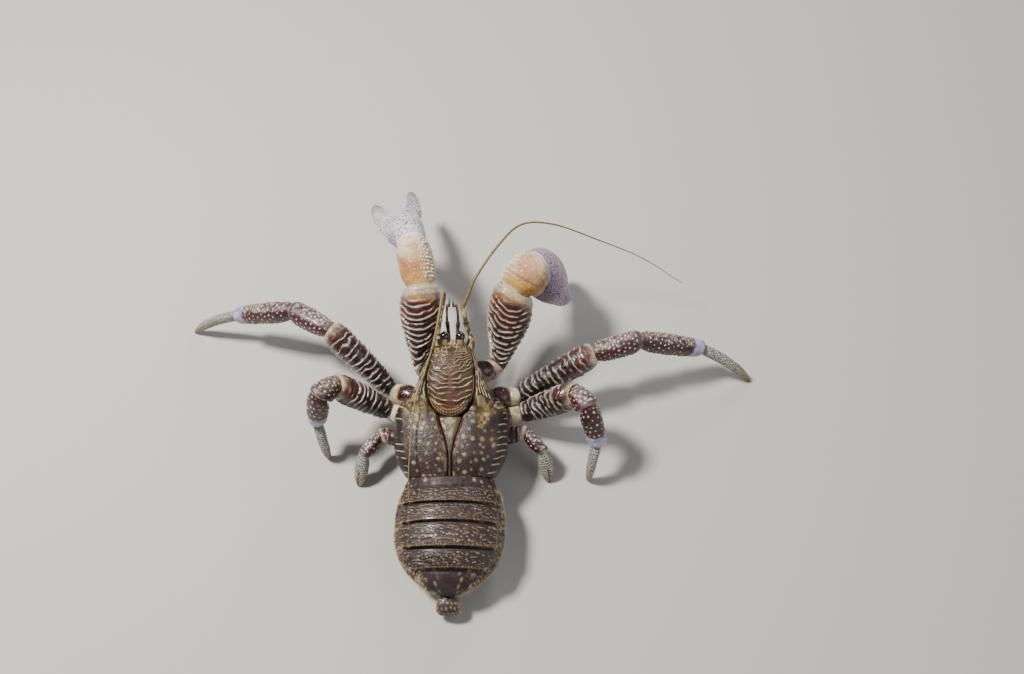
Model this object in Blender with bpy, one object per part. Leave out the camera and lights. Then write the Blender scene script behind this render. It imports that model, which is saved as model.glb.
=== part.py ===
"""A coconut crab as a still, life-size model. It stands on its walking legs with its abdomen resting behind.

+X is the crab's right, +Y the way its head points, +Z up. Sizes are in millimetres, and make_object
turns them into metres. The body has axes of its own, tilted nose up about the middle of the groove
that crosses the carapace: x to the right, y to the head, z to the back of the animal.
"""

import math

import bmesh
import bpy
import numpy as np
from mathutils import Vector

for leftover in list(bpy.data.objects):
    bpy.data.objects.remove(leftover)

MM = 0.001
GAP = 0.3
SHARPEST_CORNER = 2.0
KNOB_REACH = math.radians(11)
TOE_SIDES = 8
TO_ORIGIN = Vector((-5.8, -27.8, 0.0))

# The cephalothorax
NOSE_UP = math.radians(16)
GROOVE_HEIGHT = 40.0
SHIELD_LENGTH = 34.0
BROW = 34.9
ROSTRUM_TIP = 37.5
SHIELD_RUGAE = 9
SHIELD_RUGA_HEIGHT = 0.45
SHIELD_HALF_WIDTH = 11.1
CHEEK_START = 8.5
THORAX_LENGTH = 27.0
THORAX_HALF_WIDTH = 26.5
PLATE_FLOOR = -12.0
BELLY_DEPTH = 24.0

# The abdomen
ABDOMEN_SIDES = 24
TERGITE_COUNT = 4
TERGITE_HALF_STEPS = 4
TERGITE_THICKNESS = 1.5
TERGITE_RIM = 0.55

# Which way is which
SIDES = {"left": -1, "right": 1}
UP = Vector((0, 0, 1))


def body(x, y, z):
    """A point given in the body's own axes."""
    c, s = math.cos(NOSE_UP), math.sin(NOSE_UP)
    return Vector((x, y * c - z * s, GROOVE_HEIGHT + y * s + z * c))


BODY_FORWARD = body(0, 1, 0) - body(0, 0, 0)


def heading(azimuth, elevation):
    """The direction at an azimuth from +Y towards +X and an elevation above the floor, in degrees."""
    a, e = math.radians(azimuth), math.radians(elevation)
    return Vector((math.sin(a) * math.cos(e), math.cos(a) * math.cos(e), math.sin(e)))


def along(table, t):
    """The values of a table of (t, value, value, ...) at t, on a smooth curve through its rows."""
    last = len(table) - 1
    i = max(j for j in range(last) if j == 0 or table[j][0] <= t)
    t0, t1 = table[i][0], table[i + 1][0]
    h = t1 - t0
    s = min(max((t - t0) / h, 0.0), 1.0)
    values = []
    for k in range(1, len(table[0])):
        v0, v1 = table[i][k], table[i + 1][k]
        before = (v0 - table[i - 1][k]) / (t0 - table[i - 1][0]) if i else (v1 - v0) / h
        after = (table[i + 2][k] - v1) / (table[i + 2][0] - t1) if i + 1 < last else (v1 - v0) / h
        slope = (v1 - v0) / h
        m0 = 0.5 * (before + slope) if before * slope > 0 else 0.0
        m1 = 0.5 * (after + slope) if after * slope > 0 else 0.0
        values.append(
            (2 * s**3 - 3 * s**2 + 1) * v0
            + (s**3 - 2 * s**2 + s) * h * m0
            + (3 * s**2 - 2 * s**3) * v1
            + (s**3 - s**2) * h * m1
        )
    return values


# Materials


def make_material(name, colour, roughness):
    material = bpy.data.materials.new(name)
    material.use_nodes = True
    shader = material.node_tree.nodes["Principled BSDF"]
    shader.inputs["Base Color"].default_value = (*colour, 1)
    shader.inputs["Roughness"].default_value = roughness
    shader.inputs["Metallic"].default_value = 0.0
    material.diffuse_color = (*colour, 1)
    return material


SHELL = make_material("dark_shell", (0.085, 0.045, 0.045), 0.35)
CLAW = make_material("lilac_claw", (0.42, 0.34, 0.42), 0.4)
CUFF = make_material("ochre_cuff", (0.50, 0.33, 0.16), 0.35)
SKIN = make_material("pale_membrane", (0.33, 0.25, 0.19), 0.6)
HORN = make_material("grey_horn", (0.27, 0.28, 0.30), 0.5)
FEELER = make_material("straw_feeler", (0.35, 0.24, 0.11), 0.45)
EYE = make_material("black_eye", (0.02, 0.01, 0.015), 0.1)


# Meshes


def make_object(name, rings, material):
    """A closed solid through rings of points, all with one number of points, with flat ends."""
    mesh = bmesh.new()
    loops = [[mesh.verts.new((p + TO_ORIGIN) * MM) for p in ring] for ring in rings]
    count = len(loops[0])
    for lower, upper in zip(loops, loops[1:]):
        for k in range(count):
            n = (k + 1) % count
            mesh.faces.new((lower[k], lower[n], upper[n], upper[k]))
    mesh.faces.new(list(reversed(loops[0])))
    mesh.faces.new(loops[-1])
    bmesh.ops.triangulate(mesh, faces=mesh.faces)
    bmesh.ops.recalc_face_normals(mesh, faces=mesh.faces)
    data = bpy.data.meshes.new(name)
    mesh.to_mesh(data)
    mesh.free()
    if volume_of(data) < 0:
        data.flip_normals()
    data.materials.append(material)
    data.shade_smooth()
    data.set_sharp_from_angle(angle=math.radians(40))
    thing = bpy.data.objects.new(name, data)
    bpy.context.scene.collection.objects.link(thing)
    return thing


def volume_of(data):
    mesh = bmesh.new()
    mesh.from_mesh(data)
    volume = mesh.calc_volume(signed=True)
    mesh.free()
    return volume


def keep_largest(data):
    """Leaves only the largest closed surface of a mesh."""
    mesh = bmesh.new()
    mesh.from_mesh(data)
    todo = set(mesh.verts)
    islands = []
    while todo:
        island = {todo.pop()}
        edge = list(island)
        while edge:
            found = {e.other_vert(v) for v in edge for e in v.link_edges} - island
            island |= found
            edge = list(found)
        todo -= island
        islands.append(island)
    best = max(islands, key=len)
    bmesh.ops.delete(mesh, geom=[v for v in mesh.verts if v not in best], context="VERTS")
    mesh.to_mesh(data)
    mesh.free()


def swollen_copy(thing, margin):
    """A copy of a solid with every face moved outwards, which cuts its neighbours clear of it."""
    copy = bpy.data.objects.new(thing.name + "_cutter", thing.data.copy())
    bpy.context.scene.collection.objects.link(copy)
    mesh = bmesh.new()
    mesh.from_mesh(copy.data)
    mesh.normal_update()
    moves = []
    for v in mesh.verts:
        # The move that takes the corner's faces out by the margin, as near as one point can
        normals = np.array([f.normal for f in v.link_faces])
        move = np.linalg.lstsq(normals, np.full(len(normals), margin * MM), rcond=0.2)[0]
        reach = np.linalg.norm(move) / (margin * MM)
        moves.append(Vector(move) * min(1.0, SHARPEST_CORNER / reach))
    for v, move in zip(mesh.verts, moves):
        v.co += move
    mesh.to_mesh(copy.data)
    mesh.free()
    return copy


def boolean(thing, other, operation):
    """The mesh of a solid joined with another or cut by it. The exact solver goes first."""
    change = thing.modifiers.new("boolean", "BOOLEAN")
    change.operation = operation
    change.object = other
    for solver in ("EXACT", "MANIFOLD"):
        change.solver = solver
        bpy.context.view_layer.update()
        graph = bpy.context.evaluated_depsgraph_get()
        result = bpy.data.meshes.new_from_object(thing.evaluated_get(graph))
        if result.polygons:
            break
        print(thing.name, "isn't cut by the exact solver")
    thing.modifiers.clear()
    return result


def cut_clear(thing, *others, margin=GAP):
    """Cuts a solid back from its neighbours, so that it meets each of them face to face across the gap."""
    for other in others:
        cutter = swollen_copy(other, margin)
        thing.data = boolean(thing, cutter, "DIFFERENCE")
        bpy.data.objects.remove(cutter)
        keep_largest(thing.data)


# Rings


def oval(centre, normal, up, half_width, half_height, sides, shape=2.3, relief=None):
    """Points round a superellipse that stands square to normal. relief(a) adds to the radius at angle a."""
    across = normal.cross(up).normalized()
    over = across.cross(normal).normalized()
    ring = []
    for k in range(sides):
        a = 2 * math.pi * k / sides
        c, s = math.cos(a), math.sin(a)
        x = half_width * math.copysign(abs(c) ** (2 / shape), c)
        y = half_height * math.copysign(abs(s) ** (2 / shape), s)
        extra = relief(a) if relief else 0.0
        ring.append(centre + across * (x + extra * c) + over * (y + extra * s))
    return ring


def even(steps):
    """Places along a smooth piece as (t, crest), with no crests."""
    return [(i / steps, 0.0) for i in range(steps + 1)]


def crests(count, first, last, lean):
    """Places along a piece as (t, crest), where crest is 1 on each ridge or row of knobs and 0 between.

    A lean of 0.5 makes a crest that is alike on both sides, and more than that makes steps like tiles.
    """
    pitch = (last - first) / count
    places = [(0.0, 0.0)]
    for i in range(count):
        places += [(first + i * pitch, 0.0), (first + (i + lean) * pitch, 1.0)]
    return [*places, (last, 0.0), (0.5 * (last + 1), 0.0), (1.0, 0.0)]


def ruga(a):
    """A ridge right round a limb, highest over its top."""
    return 0.55 + 0.45 * math.sin(a)


def knobs(*rows):
    """Knobs in rows along a limb, at angles in degrees."""
    rows = [math.radians(r) for r in rows]
    return lambda a: float(any(abs(math.remainder(a - r, math.tau)) < KNOB_REACH for r in rows))


class Joint:
    """Where two pieces of a limb meet: a point, and the direction square to the faces that meet there."""

    def __init__(self, point, normal):
        self.point = point
        self.normal = normal.normalized()


def limb_piece(name, start, end, profile, material, places, sides=12, stiff=2.0, crest=ruga, height=0.0):
    """A piece of limb between two joints, with both ends flat in the joints' planes.

    profile is a table of (t, half width, half height). stiff says how soon its rings stand square to it.
    crest gives the shape of each ridge round the limb, and height its height.
    """
    first = start.point + start.normal * GAP / 2
    final = end.point - end.normal * GAP / 2
    axis = (final - first).normalized()
    rings = []
    for t, share in places:
        half_width, half_height = along(profile, t)
        normal = axis + (start.normal - axis) * (1 - t) ** stiff + (end.normal - axis) * t**stiff
        over = (UP - axis * UP.dot(axis)).normalized()
        relief = (lambda a, h=height * share: h * crest(a)) if height * share else None
        centre = first.lerp(final, t)
        rings.append(oval(centre, normal.normalized(), over, half_width, half_height, sides, relief=relief))
    return make_object(name, rings, material)


def smooth_path(points, steps):
    """Points on a smooth curve through the given ones, evenly spread between them."""
    ends = [points[0] * 2 - points[1], *points, points[-1] * 2 - points[-2]]
    path = []
    for i in range(1, len(ends) - 2):
        p0, p1, p2, p3 = ends[i - 1 : i + 3]
        for j in range(steps):
            s = j / steps
            path.append(
                0.5
                * (
                    2 * p1
                    + (p2 - p0) * s
                    + (2 * p0 - 5 * p1 + 4 * p2 - p3) * s**2
                    + (3 * p1 - p0 - 3 * p2 + p3) * s**3
                )
            )
    return [*path, points[-1]]


def feeler(name, points, radii, material, steps=3, sides=6, start_normal=None, flatness=1.0):
    """A thin bent piece along a smooth curve. radii is a table of (t, radius)."""
    path = smooth_path(points, steps)
    rings = []
    up = UP
    for i, p in enumerate(path):
        ahead = path[min(i + 1, len(path) - 1)]
        behind = path[max(i - 1, 0)]
        tangent = (ahead - behind).normalized()
        if i == 0 and start_normal:
            tangent = start_normal
        up = (up - tangent * up.dot(tangent)).normalized()
        radius = along(radii, i / (len(path) - 1))[0]
        rings.append(oval(p, tangent, up, radius, radius * flatness, sides, shape=2.0))
    return make_object(name, rings, material)


# The front of the carapace: an oval shield between two cheeks, with a groove between


# Each is a table along the body from the groove to the tip of the rostrum.
SHIELD_EDGE = [(0, 2.2), (1.2, 4.8), (4.5, 8.0), (9, 10.1), (15, SHIELD_HALF_WIDTH), (21, 11.0), (27, 10.1),
               (31, 8.9), (SHIELD_LENGTH, 7.2), (BROW, 2.6), (ROSTRUM_TIP, 0.5)]
CHEEK_EDGE = [(CHEEK_START, 21.6), (13, 18.6), (19.5, 15.8), (27, 12.2), (31, 10.0), (SHIELD_LENGTH, 7.8),
              (BROW, 3.0), (ROSTRUM_TIP, 0.7)]
CROWN = [(0, -3.0), (1.2, -1.0), (4.5, 0.6), (10, 2.0), (18, 2.2), (26, 0.6), (31, -1.8),
         (SHIELD_LENGTH, -3.6), (ROSTRUM_TIP, -5.6)]
FRONT_FLOOR = [(0, PLATE_FLOOR), (30, PLATE_FLOOR), (SHIELD_LENGTH, -10.0), (ROSTRUM_TIP, -8.0)]
# Each is a table across the body of (share of the width, share of the drop).
SHIELD_SLOPE = ((0.0, 0.0), (0.3, 0.04), (0.6, 0.2), (0.85, 0.6))
CHEEK_SLOPE = ((0.12, -0.06), (0.45, 0.08), (0.8, 0.38), (1.0, 1.0))
GROOVE_WALL = ((0.3, 0.1), (0.6, 0.35), (0.85, 0.65), (1.0, 1.0))
GROOVE_DEPTH = 0.9


def front_ring(y, crest=0.0):
    """One slice across the front of the carapace, from its left edge over the top to its right edge."""
    inner = along(SHIELD_EDGE, y)[0]
    outer = along(CHEEK_EDGE, y)[0] if y >= CHEEK_START else inner + 0.8
    crown, floor = along(CROWN, y)[0], along(FRONT_FLOOR, y)[0]
    shoulder = crown - 0.22 * inner - 0.1
    groove = shoulder - GROOVE_DEPTH
    half = [(inner * share, crown + crest - (crown - shoulder) * drop) for share, drop in SHIELD_SLOPE]
    half.append((inner, groove))
    slope = CHEEK_SLOPE if y >= CHEEK_START else GROOVE_WALL
    for share, drop in slope:
        half.append((inner + (outer - inner) * share, groove - (groove - floor) * drop))
    left = [body(-x, y, z) for x, z in reversed(half)]
    right = [body(x, y, z) for x, z in half[1:]]
    return left + right


def carapace_front():
    rings = [front_ring(y) for y in (0.0, 1.2, 3.0, 5.5, CHEEK_START - 0.4)]
    pitch = (SHIELD_LENGTH - CHEEK_START) / SHIELD_RUGAE
    for i in range(SHIELD_RUGAE):
        y = CHEEK_START + i * pitch
        rings += [front_ring(y), front_ring(y + 0.75 * pitch, SHIELD_RUGA_HEIGHT)]
    rings += [front_ring(y) for y in (SHIELD_LENGTH, BROW, 0.4 * BROW + 0.6 * ROSTRUM_TIP, ROSTRUM_TIP)]
    return make_object("carapace_front", rings, SHELL)


# The back of the carapace: a lobe on each side and a wedge between them


# Half the width of the wedge over the heart, and the outer edge and top of the lobes, along the body
WEDGE_EDGE = [(-THORAX_LENGTH, 0.9), (-16, 1.1), (-1.5, 5.0), (4, 6.5)]
LOBE_EDGE = [(-THORAX_LENGTH, 20.5), (-20, 24.5), (-10, THORAX_HALF_WIDTH), (0, THORAX_HALF_WIDTH), (5, 25.2),
             (9.5, 22.4), (11, 20.4)]
LOBE_TOP = [(-THORAX_LENGTH, -3.4), (-18, -1.2), (-8, -0.8), (0, -2.2), (6, -4.8), (9.5, -7.6), (11, -9.8)]
LOBE_SLOPE = ((0.25, -0.03), (0.5, 0.05), (0.72, 0.2), (0.88, 0.42))


def cardiac_plate():
    rings = []
    for y in (-THORAX_LENGTH, -22.0, -16.0, -11.0, -6.0, -1.5, 2.0):
        w, top = along(WEDGE_EDGE, y)[0] - GAP, along(LOBE_TOP, y)[0] - 0.5
        half = ((0.5 * w, top), (w, top - 0.5), (w, PLATE_FLOOR))
        rings.append([body(-x, y, z) for x, z in reversed(half)] + [body(x, y, z) for x, z in half])
    return make_object("cardiac_plate", rings, SHELL)


def branchial_lobe(name, side):
    rings = []
    for y in (-THORAX_LENGTH, -23.0, -18.0, -12.0, -6.0, 0.0, 4.0, 7.0, 9.5, 11.0):
        inner = along(WEDGE_EDGE, y)[0] + GAP / 2
        outer, top = along(LOBE_EDGE, y)[0], along(LOBE_TOP, y)[0]
        profile = [(inner, PLATE_FLOOR), (inner, top - 1.2), (inner + 1.2, top)]
        reach = outer - 3.0 - inner
        for share, drop in LOBE_SLOPE:
            profile.append((inner + reach * share, top - (top - PLATE_FLOOR) * drop))
        profile += [(outer - 1.4, PLATE_FLOOR + 0.42 * (top - PLATE_FLOOR)), (outer, PLATE_FLOOR + 1.6),
                    (outer - 0.4, PLATE_FLOOR)]
        rings.append([body(side * x, y, z) for x, z in profile])
    return make_object(name, rings, SHELL)


BELLY = [
    # y, half width at the shoulder, half width of the keel, depth
    (-THORAX_LENGTH, 18.5, 12.5, 20.0),
    (-18, 21.0, 13.5, 22.5),
    (-5, 22.5, 13.0, BELLY_DEPTH),
    (6, 20.5, 12.0, BELLY_DEPTH),
    (16, 14.5, 10.0, 23.5),
    (25, 10.5, 8.0, 22.5),
    (31, 7.8, 6.0, 21.0),
    (33.5, 6.0, 4.5, 18.5),
]


def belly():
    """The underside of the head and thorax, which carries every limb."""
    ceiling = PLATE_FLOOR - GAP
    rings = []
    back, front, steps = BELLY[0][0], BELLY[-1][0], 10
    for i in range(steps + 1):
        y = back + (front - back) * i / steps
        shoulder, keel, depth = along(BELLY, y)
        half = [(keel * 0.6, -depth), (keel, -depth + 1.4), (0.4 * keel + 0.6 * shoulder + 1, -0.86 * depth),
                (shoulder, -0.72 * depth), (shoulder, ceiling)]
        rings.append([body(x, y, z) for x, z in half] + [body(-x, y, z) for x, z in reversed(half)])
    return make_object("thorax_underside", rings, SKIN)


# The abdomen, its hard plates and the small tail tucked behind it


ABDOMEN_AXIS = [
    # share of the length, y, z, half width, half height
    (0.00, -22.7, 20.0, 19.5, 14.0),
    (0.10, -29.0, 18.0, 22.5, 15.8),
    (0.35, -41.0, 16.0, 25.0, 17.4),
    (0.60, -53.0, 14.8, 24.5, 16.0),
    (0.80, -62.5, 13.0, 20.5, 13.4),
    (0.92, -69.0, 12.0, 14.0, 10.0),
    (0.98, -72.6, 10.6, 7.5, 6.0),
    (1.00, -74.0, 10.0, 3.0, 2.6),
]
TERGITES_FROM, TERGITES_TO = 0.06, 0.86


def abdomen_ring(t, swell=0.0, angles=None):
    """Points round the abdomen at a share of its length, from angles counted from the right side up."""
    y, z, half_width, half_height = along(ABDOMEN_AXIS, t)
    y1, z1 = along(ABDOMEN_AXIS, max(t - 0.01, 0))[:2]
    y2, z2 = along(ABDOMEN_AXIS, min(t + 0.01, 1))[:2]
    normal = Vector((0, y1 - y2, z1 - z2)).normalized()
    if t == 0:
        normal = BODY_FORWARD
    over = Vector((1, 0, 0)).cross(normal).normalized()
    points = []
    for a in angles or [math.tau * k / ABDOMEN_SIDES for k in range(ABDOMEN_SIDES)]:
        c, s = math.cos(a), math.sin(a)
        p = Vector(((half_width + swell) * c, y, z)) + over * (half_height + swell) * s
        p.z = max(p.z, 0.0)
        points.append(p)
    return points


def tergite_span(i):
    pitch = (TERGITES_TO - TERGITES_FROM) / TERGITE_COUNT
    return TERGITES_FROM + i * pitch, TERGITES_FROM + (i + 0.88) * pitch


def abdomen():
    places = [(0.0, 0.0)]
    for i in range(TERGITE_COUNT):
        front, back = tergite_span(i)
        places += [(front, 0.0), (0.5 * (front + back), 0.0), (back, 0.0), (back + 0.012, -0.9)]
    places += [(0.90, 0.0), (0.95, 0.0), (0.98, 0.0), (1.0, 0.0)]
    start = abdomen_ring(0.0)
    rings = [[p - BODY_FORWARD * GAP for p in start]] + [abdomen_ring(t, s) for t, s in places[1:]]
    return make_object("abdomen", rings, SKIN)


def tergite(i):
    """One hard plate over the abdomen, thickest near its back edge."""
    front, back = tergite_span(i)
    middle = 0.5 * (front + back)
    wide = TERGITE_HALF_STEPS
    angles = [math.pi / 2 + math.tau / ABDOMEN_SIDES * k for k in range(-wide, wide + 1)]
    shares = [TERGITE_RIM, *[1.0] * (len(angles) - 2), TERGITE_RIM]
    floor = GAP + 0.1
    rings = []
    for t, thickness in ((front, 0.7), (middle, TERGITE_THICKNESS), (back, TERGITE_THICKNESS + 0.3)):
        under = abdomen_ring(t, floor, angles)
        top = [abdomen_ring(t, floor + thickness * share, [a])[0] for a, share in zip(angles, shares)]
        rings.append(under + list(reversed(top)))
    return make_object(f"tergite_{i + 1}", rings, SHELL)


def tail_fan():
    """The last segment and telson, a small lobe that hooks under the end of the abdomen."""
    points = [(0, -74.5, 10.4), (0, -78.6, 9.0), (0, -79.6, 5.0), (0, -76.4, 1.9)]
    radii = [(0, 4.2), (0.3, 5.4), (0.65, 5.0), (0.9, 3.2), (1.0, 1.4)]
    return feeler("tail_fan", [Vector(p) for p in points], radii, SHELL, sides=12, flatness=0.42)


# Limbs


def joints_of(points):
    """A joint at each point of a chain, each with its plane halfway between the pieces that it joins."""
    ways = [(b - a).normalized() for a, b in zip(points, points[1:])]
    between = [a + b for a, b in zip(ways, ways[1:])]
    return [Joint(p, n) for p, n in zip(points, [ways[0], *between, ways[-1]])]


LEG_PROFILES = {
    # t, half width, half height of each piece of a front walking leg
    "base": [(0, 4.4, 4.8), (0.5, 4.6, 5.2), (1, 3.6, 4.0)],
    "merus": [(0, 3.5, 4.2), (0.12, 4.3, 5.1), (0.6, 5.7, 6.4), (0.85, 6, 6.6), (0.95, 5.7, 6.1), (1, 4.6, 5)],
    "carpus": [(0, 3.7, 4.0), (0.2, 4.8, 5.1), (0.75, 5.4, 5.6), (0.92, 5.1, 5.3), (1, 4.3, 4.5)],
    "propodus": [(0, 3.6, 3.9), (0.15, 4.7, 4.9), (0.6, 4.8, 5), (0.82, 4.5, 4.7), (0.97, 4.2, 4.4), (1, 3.9, 4)],
    "dactyl": [(0, 2.4, 2.7), (0.25, 2.5, 2.7), (0.6, 2.0, 2.2), (0.85, 1.3, 1.5), (1, 0.75, 0.8)],
}
LEG_FORMS = {
    # places along the piece, the shape of its crests and their height
    "merus": (crests(10, 0.03, 0.86, 0.78), ruga, 0.55),
    "carpus": (crests(5, 0.08, 0.9, 0.5), knobs(60, 90, 120), 0.6),
    "propodus": (crests(6, 0.06, 0.84, 0.5), knobs(60, 120), 0.5),
}
WALKING_LEGS = {
    # scale, lengths of the four pieces, root in the body's axes, start of the merus, azimuth and elevation
    # of the next pieces, and azimuth of the dactyl
    ("front_leg", "left"): (1.0, (42.0, 23.0, 35.0, 35.0), (-14, 11, -21), (-29.0, 23.0, 19.0),
                            ((-52, 26), (-58, -4), (-78, -25)), -85),
    ("front_leg", "right"): (1.0, (42.0, 23.0, 35.0, 35.0), (14, 11, -21), (31.0, 20.7, 19.0),
                             ((67, 20), (73, 2), (84, -23)), 105),
    ("rear_leg", "left"): (0.98, (33.5, 12.0, 21.5, 26.0), (-14, 0, -21), (-30.5, 14.0, 15.5),
                           ((-85, 46), (-145, 30), (-125, -78)), 165),
    ("rear_leg", "right"): (0.98, (33.5, 12.0, 21.5, 26.0), (14, 0, -21), (32.5, 12.8, 15.5),
                            ((91, 41), (152, 28), (150, -61)), -162),
}


def foot_direction(ankle, length, azimuth):
    """The way of a last piece of that length whose tip reaches the floor."""
    return heading(azimuth, -math.degrees(math.asin(ankle.z / length)))


def scaled(profile, scale):
    return [(t, w * scale, h * scale) for t, w, h in profile]


def walking_leg(leg, side_name, thorax):
    name = f"{leg}_{side_name}"
    scale, lengths, root, start, ways, dactyl_azimuth = WALKING_LEGS[leg, side_name]
    profiles = {piece: scaled(profile, scale) for piece, profile in LEG_PROFILES.items()}
    points = [body(*root), Vector(start)]
    for length, way in zip(lengths, ways):
        points.append(points[-1] + heading(*way) * length)
    points.append(points[-1] + foot_direction(points[-1], lengths[-1], dactyl_azimuth) * lengths[-1])
    joints = joints_of(points)
    base = limb_piece(f"{name}_base", joints[0], joints[1], profiles["base"], SKIN, even(3), sides=10)
    cut_clear(base, thorax)
    for i, (piece, (places, crest, height)) in enumerate(LEG_FORMS.items(), start=1):
        limb_piece(f"{name}_{piece}", joints[i], joints[i + 1], profiles[piece], SHELL, places, crest=crest,
                   height=height)
    toe(f"{name}_dactyl", joints[-2], points[-1], profiles["dactyl"])


def toe(name, ankle, tip, profile, bow=2.8):
    """A horn-like last piece that curves down to a small flat on the floor."""
    path = (tip - ankle.point).normalized()
    outward = (UP - path * UP.dot(path)).normalized()
    rings = []
    first = ankle.point + ankle.normal * GAP / 2
    steps = 6
    for i in range(steps + 1):
        t = i / steps
        half_width, half_height = along(profile, t)
        lean = outward * 0.6 * t * (1 - 2 * t)
        normal = path + (ankle.normal - path) * (1 - t) ** 4 + (-UP - path) * t**6 + lean
        centre = first.lerp(tip, t) + outward * bow * 4 * t * (1 - t)
        rings.append(oval(centre, normal.normalized(), outward, half_width, half_height, TOE_SIDES))
    for p in rings[-1]:
        p.z = 0.0
    return make_object(name, rings, HORN)


# Small legs behind the walking legs, each ending in a little pincer


SMALL_LEG_PROFILES = {
    "merus": [(0, 3.2, 3.6), (0.4, 3.4, 4.0), (0.85, 3.7, 4.2), (1, 3.0, 3.4)],
    "carpus": [(0, 2.6, 3.0), (0.5, 3.3, 3.6), (1, 2.8, 3.0)],
    "claw": [(0, 2.3, 2.6), (0.3, 3.3, 3.0), (0.6, 2.9, 2.5), (0.85, 1.8, 1.7), (1, 0.9, 0.9)],
}
SMALL_LEG_CARPUS = 12.0
SMALL_LEG_CLAW = 18.0
SMALL_LEGS = {
    # root in the body's axes, knee, azimuth and elevation of the carpus, azimuth of the claw
    "left": ((-13, -9, -20), (-34.0, 0.5, 17.0), (-140, -8), -160),
    "right": ((13, -9, -20), (34.5, 2.0, 17.0), (136, -8), 160),
}


def small_leg(side_name, thorax):
    name = f"small_leg_{side_name}"
    root, knee, carpus_way, claw_azimuth = SMALL_LEGS[side_name]
    points = [body(*root), Vector(knee)]
    points.append(points[-1] + heading(*carpus_way) * SMALL_LEG_CARPUS)
    points.append(points[-1] + foot_direction(points[-1], SMALL_LEG_CLAW, claw_azimuth) * SMALL_LEG_CLAW)
    joints = joints_of(points)
    profiles = SMALL_LEG_PROFILES
    merus = limb_piece(f"{name}_merus", joints[0], joints[1], profiles["merus"], SHELL, even(4), sides=10)
    cut_clear(merus, thorax)
    limb_piece(f"{name}_carpus", joints[1], joints[2], profiles["carpus"], SHELL, even(3), sides=10)
    toe(f"{name}_claw", joints[2], points[3], profiles["claw"], bow=0.5)


# The two great claws, the left the larger


CLAW_PROFILES = {
    "base": [(0, 5.0, 5.6), (0.5, 4.8, 5.4), (1, 3.7, 4.3)],
    "merus": [(0, 3.6, 4.2), (0.15, 4.6, 5.2), (0.4, 7.4, 7.2), (0.7, 9.5, 8.8), (0.9, 9.5, 8.8), (1, 8, 7.6)],
}
WRIST_PROFILES = {
    "left": [(0, 6.2, 6.2), (0.2, 7.5, 7.8), (0.55, 8.0, 8.6), (0.85, 7.8, 8.2), (1, 6.9, 7.1)],
    "right": [(0, 6.4, 6.2), (0.2, 8.4, 8.2), (0.55, 9.3, 9.2), (0.85, 9.0, 8.8), (1, 7.6, 7.6)],
}
PALM_PROFILES = {
    # share of the length, how far the middle lies towards the thumb, half width, half height
    "left": [
        (0.00, 0.0, 6.4, 6.0),
        (0.07, 0.6, 7.8, 7.4),
        (0.22, 1.2, 9.2, 8.4),
        (0.36, 1.2, 9.9, 7.8),
        (0.46, 0.2, 9.4, 6.4),
        (0.51, -2.6, 7.0, 5.5),
        (0.56, -5.4, 4.6, 4.9),
        (0.75, -6.4, 3.8, 4.1),
        (0.90, -6.1, 2.8, 3.0),
        (0.98, -5.4, 1.7, 1.9),
        (1.00, -5.1, 0.9, 1.0),
    ],
    "right": [
        (0.00, 0.0, 6.6, 6.2),
        (0.07, 0.0, 9.0, 8.0),
        (0.25, 0.0, 11.6, 9.4),
        (0.40, 0.0, 12.0, 9.0),
        (0.47, -0.6, 11.0, 8.0),
        (0.52, -3.0, 8.2, 6.8),
        (0.57, -5.8, 5.4, 5.8),
        (0.75, -6.0, 4.6, 4.8),
        (0.90, -5.2, 3.2, 3.4),
        (0.98, -4.4, 2.0, 2.2),
        (1.00, -4.0, 1.0, 1.1),
    ],
}
PALM_PLACES = (0.0, 0.07, 0.16, 0.26, 0.36, 0.43, 0.49, 0.53)
THUMB_PROFILES = {
    "left": [(0, 5.2, 5.2), (0.2, 4.7, 4.8), (0.55, 3.4, 3.9), (0.85, 2.4, 2.7), (0.96, 1.6, 1.8), (1, 0.9, 0.9)],
    "right": [(0, 5.4, 6.0), (0.2, 5.2, 5.8), (0.55, 4.4, 4.7), (0.85, 3, 3.2), (0.96, 1.9, 2), (1, 1, 1)],
}
WRIST_SHARE = 0.35
HINGE_SHARE = 0.44
HINGE_OFFSET = 6.2
THUMB_SHARE = 0.575
THUMB_BOW = 1.6
TOOTH_HEIGHT = 1.5
GREAT_CLAWS = {
    # scale of the arm and of the palm, root in the body's axes, start of the merus, way and length of merus,
    # carpus and palm, way to the thumb across the palm, how far the thumb opens in degrees, and where round
    # the carpus its rows of knobs run
    "left": (1.0, 0.95, (-8, 22, -19), (-15.6, 34.0, 24.0), ((0, 42), 39.0), ((-13, 16), 21.6),
             ((-22, -30), 60.0), (80, 12), 15.0, (0, 45)),
    "right": (1.07, 1.1, (8, 22, -19), (20.8, 34.2, 24.0), ((18, 42), 39.0), ((50, 26), 13.5),
              ((42, -62), 50.0), (-19, 13), 9.0, (135, 180)),
}


def palm_ring(profile, joint, way, thumb, length, scale, t, tooth):
    """One ring of a palm, which narrows past its middle into the fixed finger."""
    shift, half_width, half_height = along(profile, t)
    normal = way + (joint.normal - way) * max(0.0, 1 - t / WRIST_SHARE)
    centre = joint.point + joint.normal * GAP / 2 + way * length * t + thumb * shift * scale
    back = thumb.cross(way).normalized()
    relief = (lambda a: tooth * knobs(0)(a)) if tooth else None
    return oval(centre, normal.normalized(), back, half_width * scale, half_height * scale, 14, 2.2, relief)


def thumb_ring(profile, hinge, line, inward, back, length, scale, t, tooth):
    """One ring of the finger that opens, bowed a little with its teeth inwards."""
    half_width, half_height = along(profile, t)
    centre = hinge + line * length * t + inward * THUMB_BOW * scale * 4 * t * (1 - t)
    relief = (lambda a: tooth * knobs(180)(a)) if tooth else None
    return oval(centre, line, back, half_width * scale, half_height * scale, 12, 2.2, relief)


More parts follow.
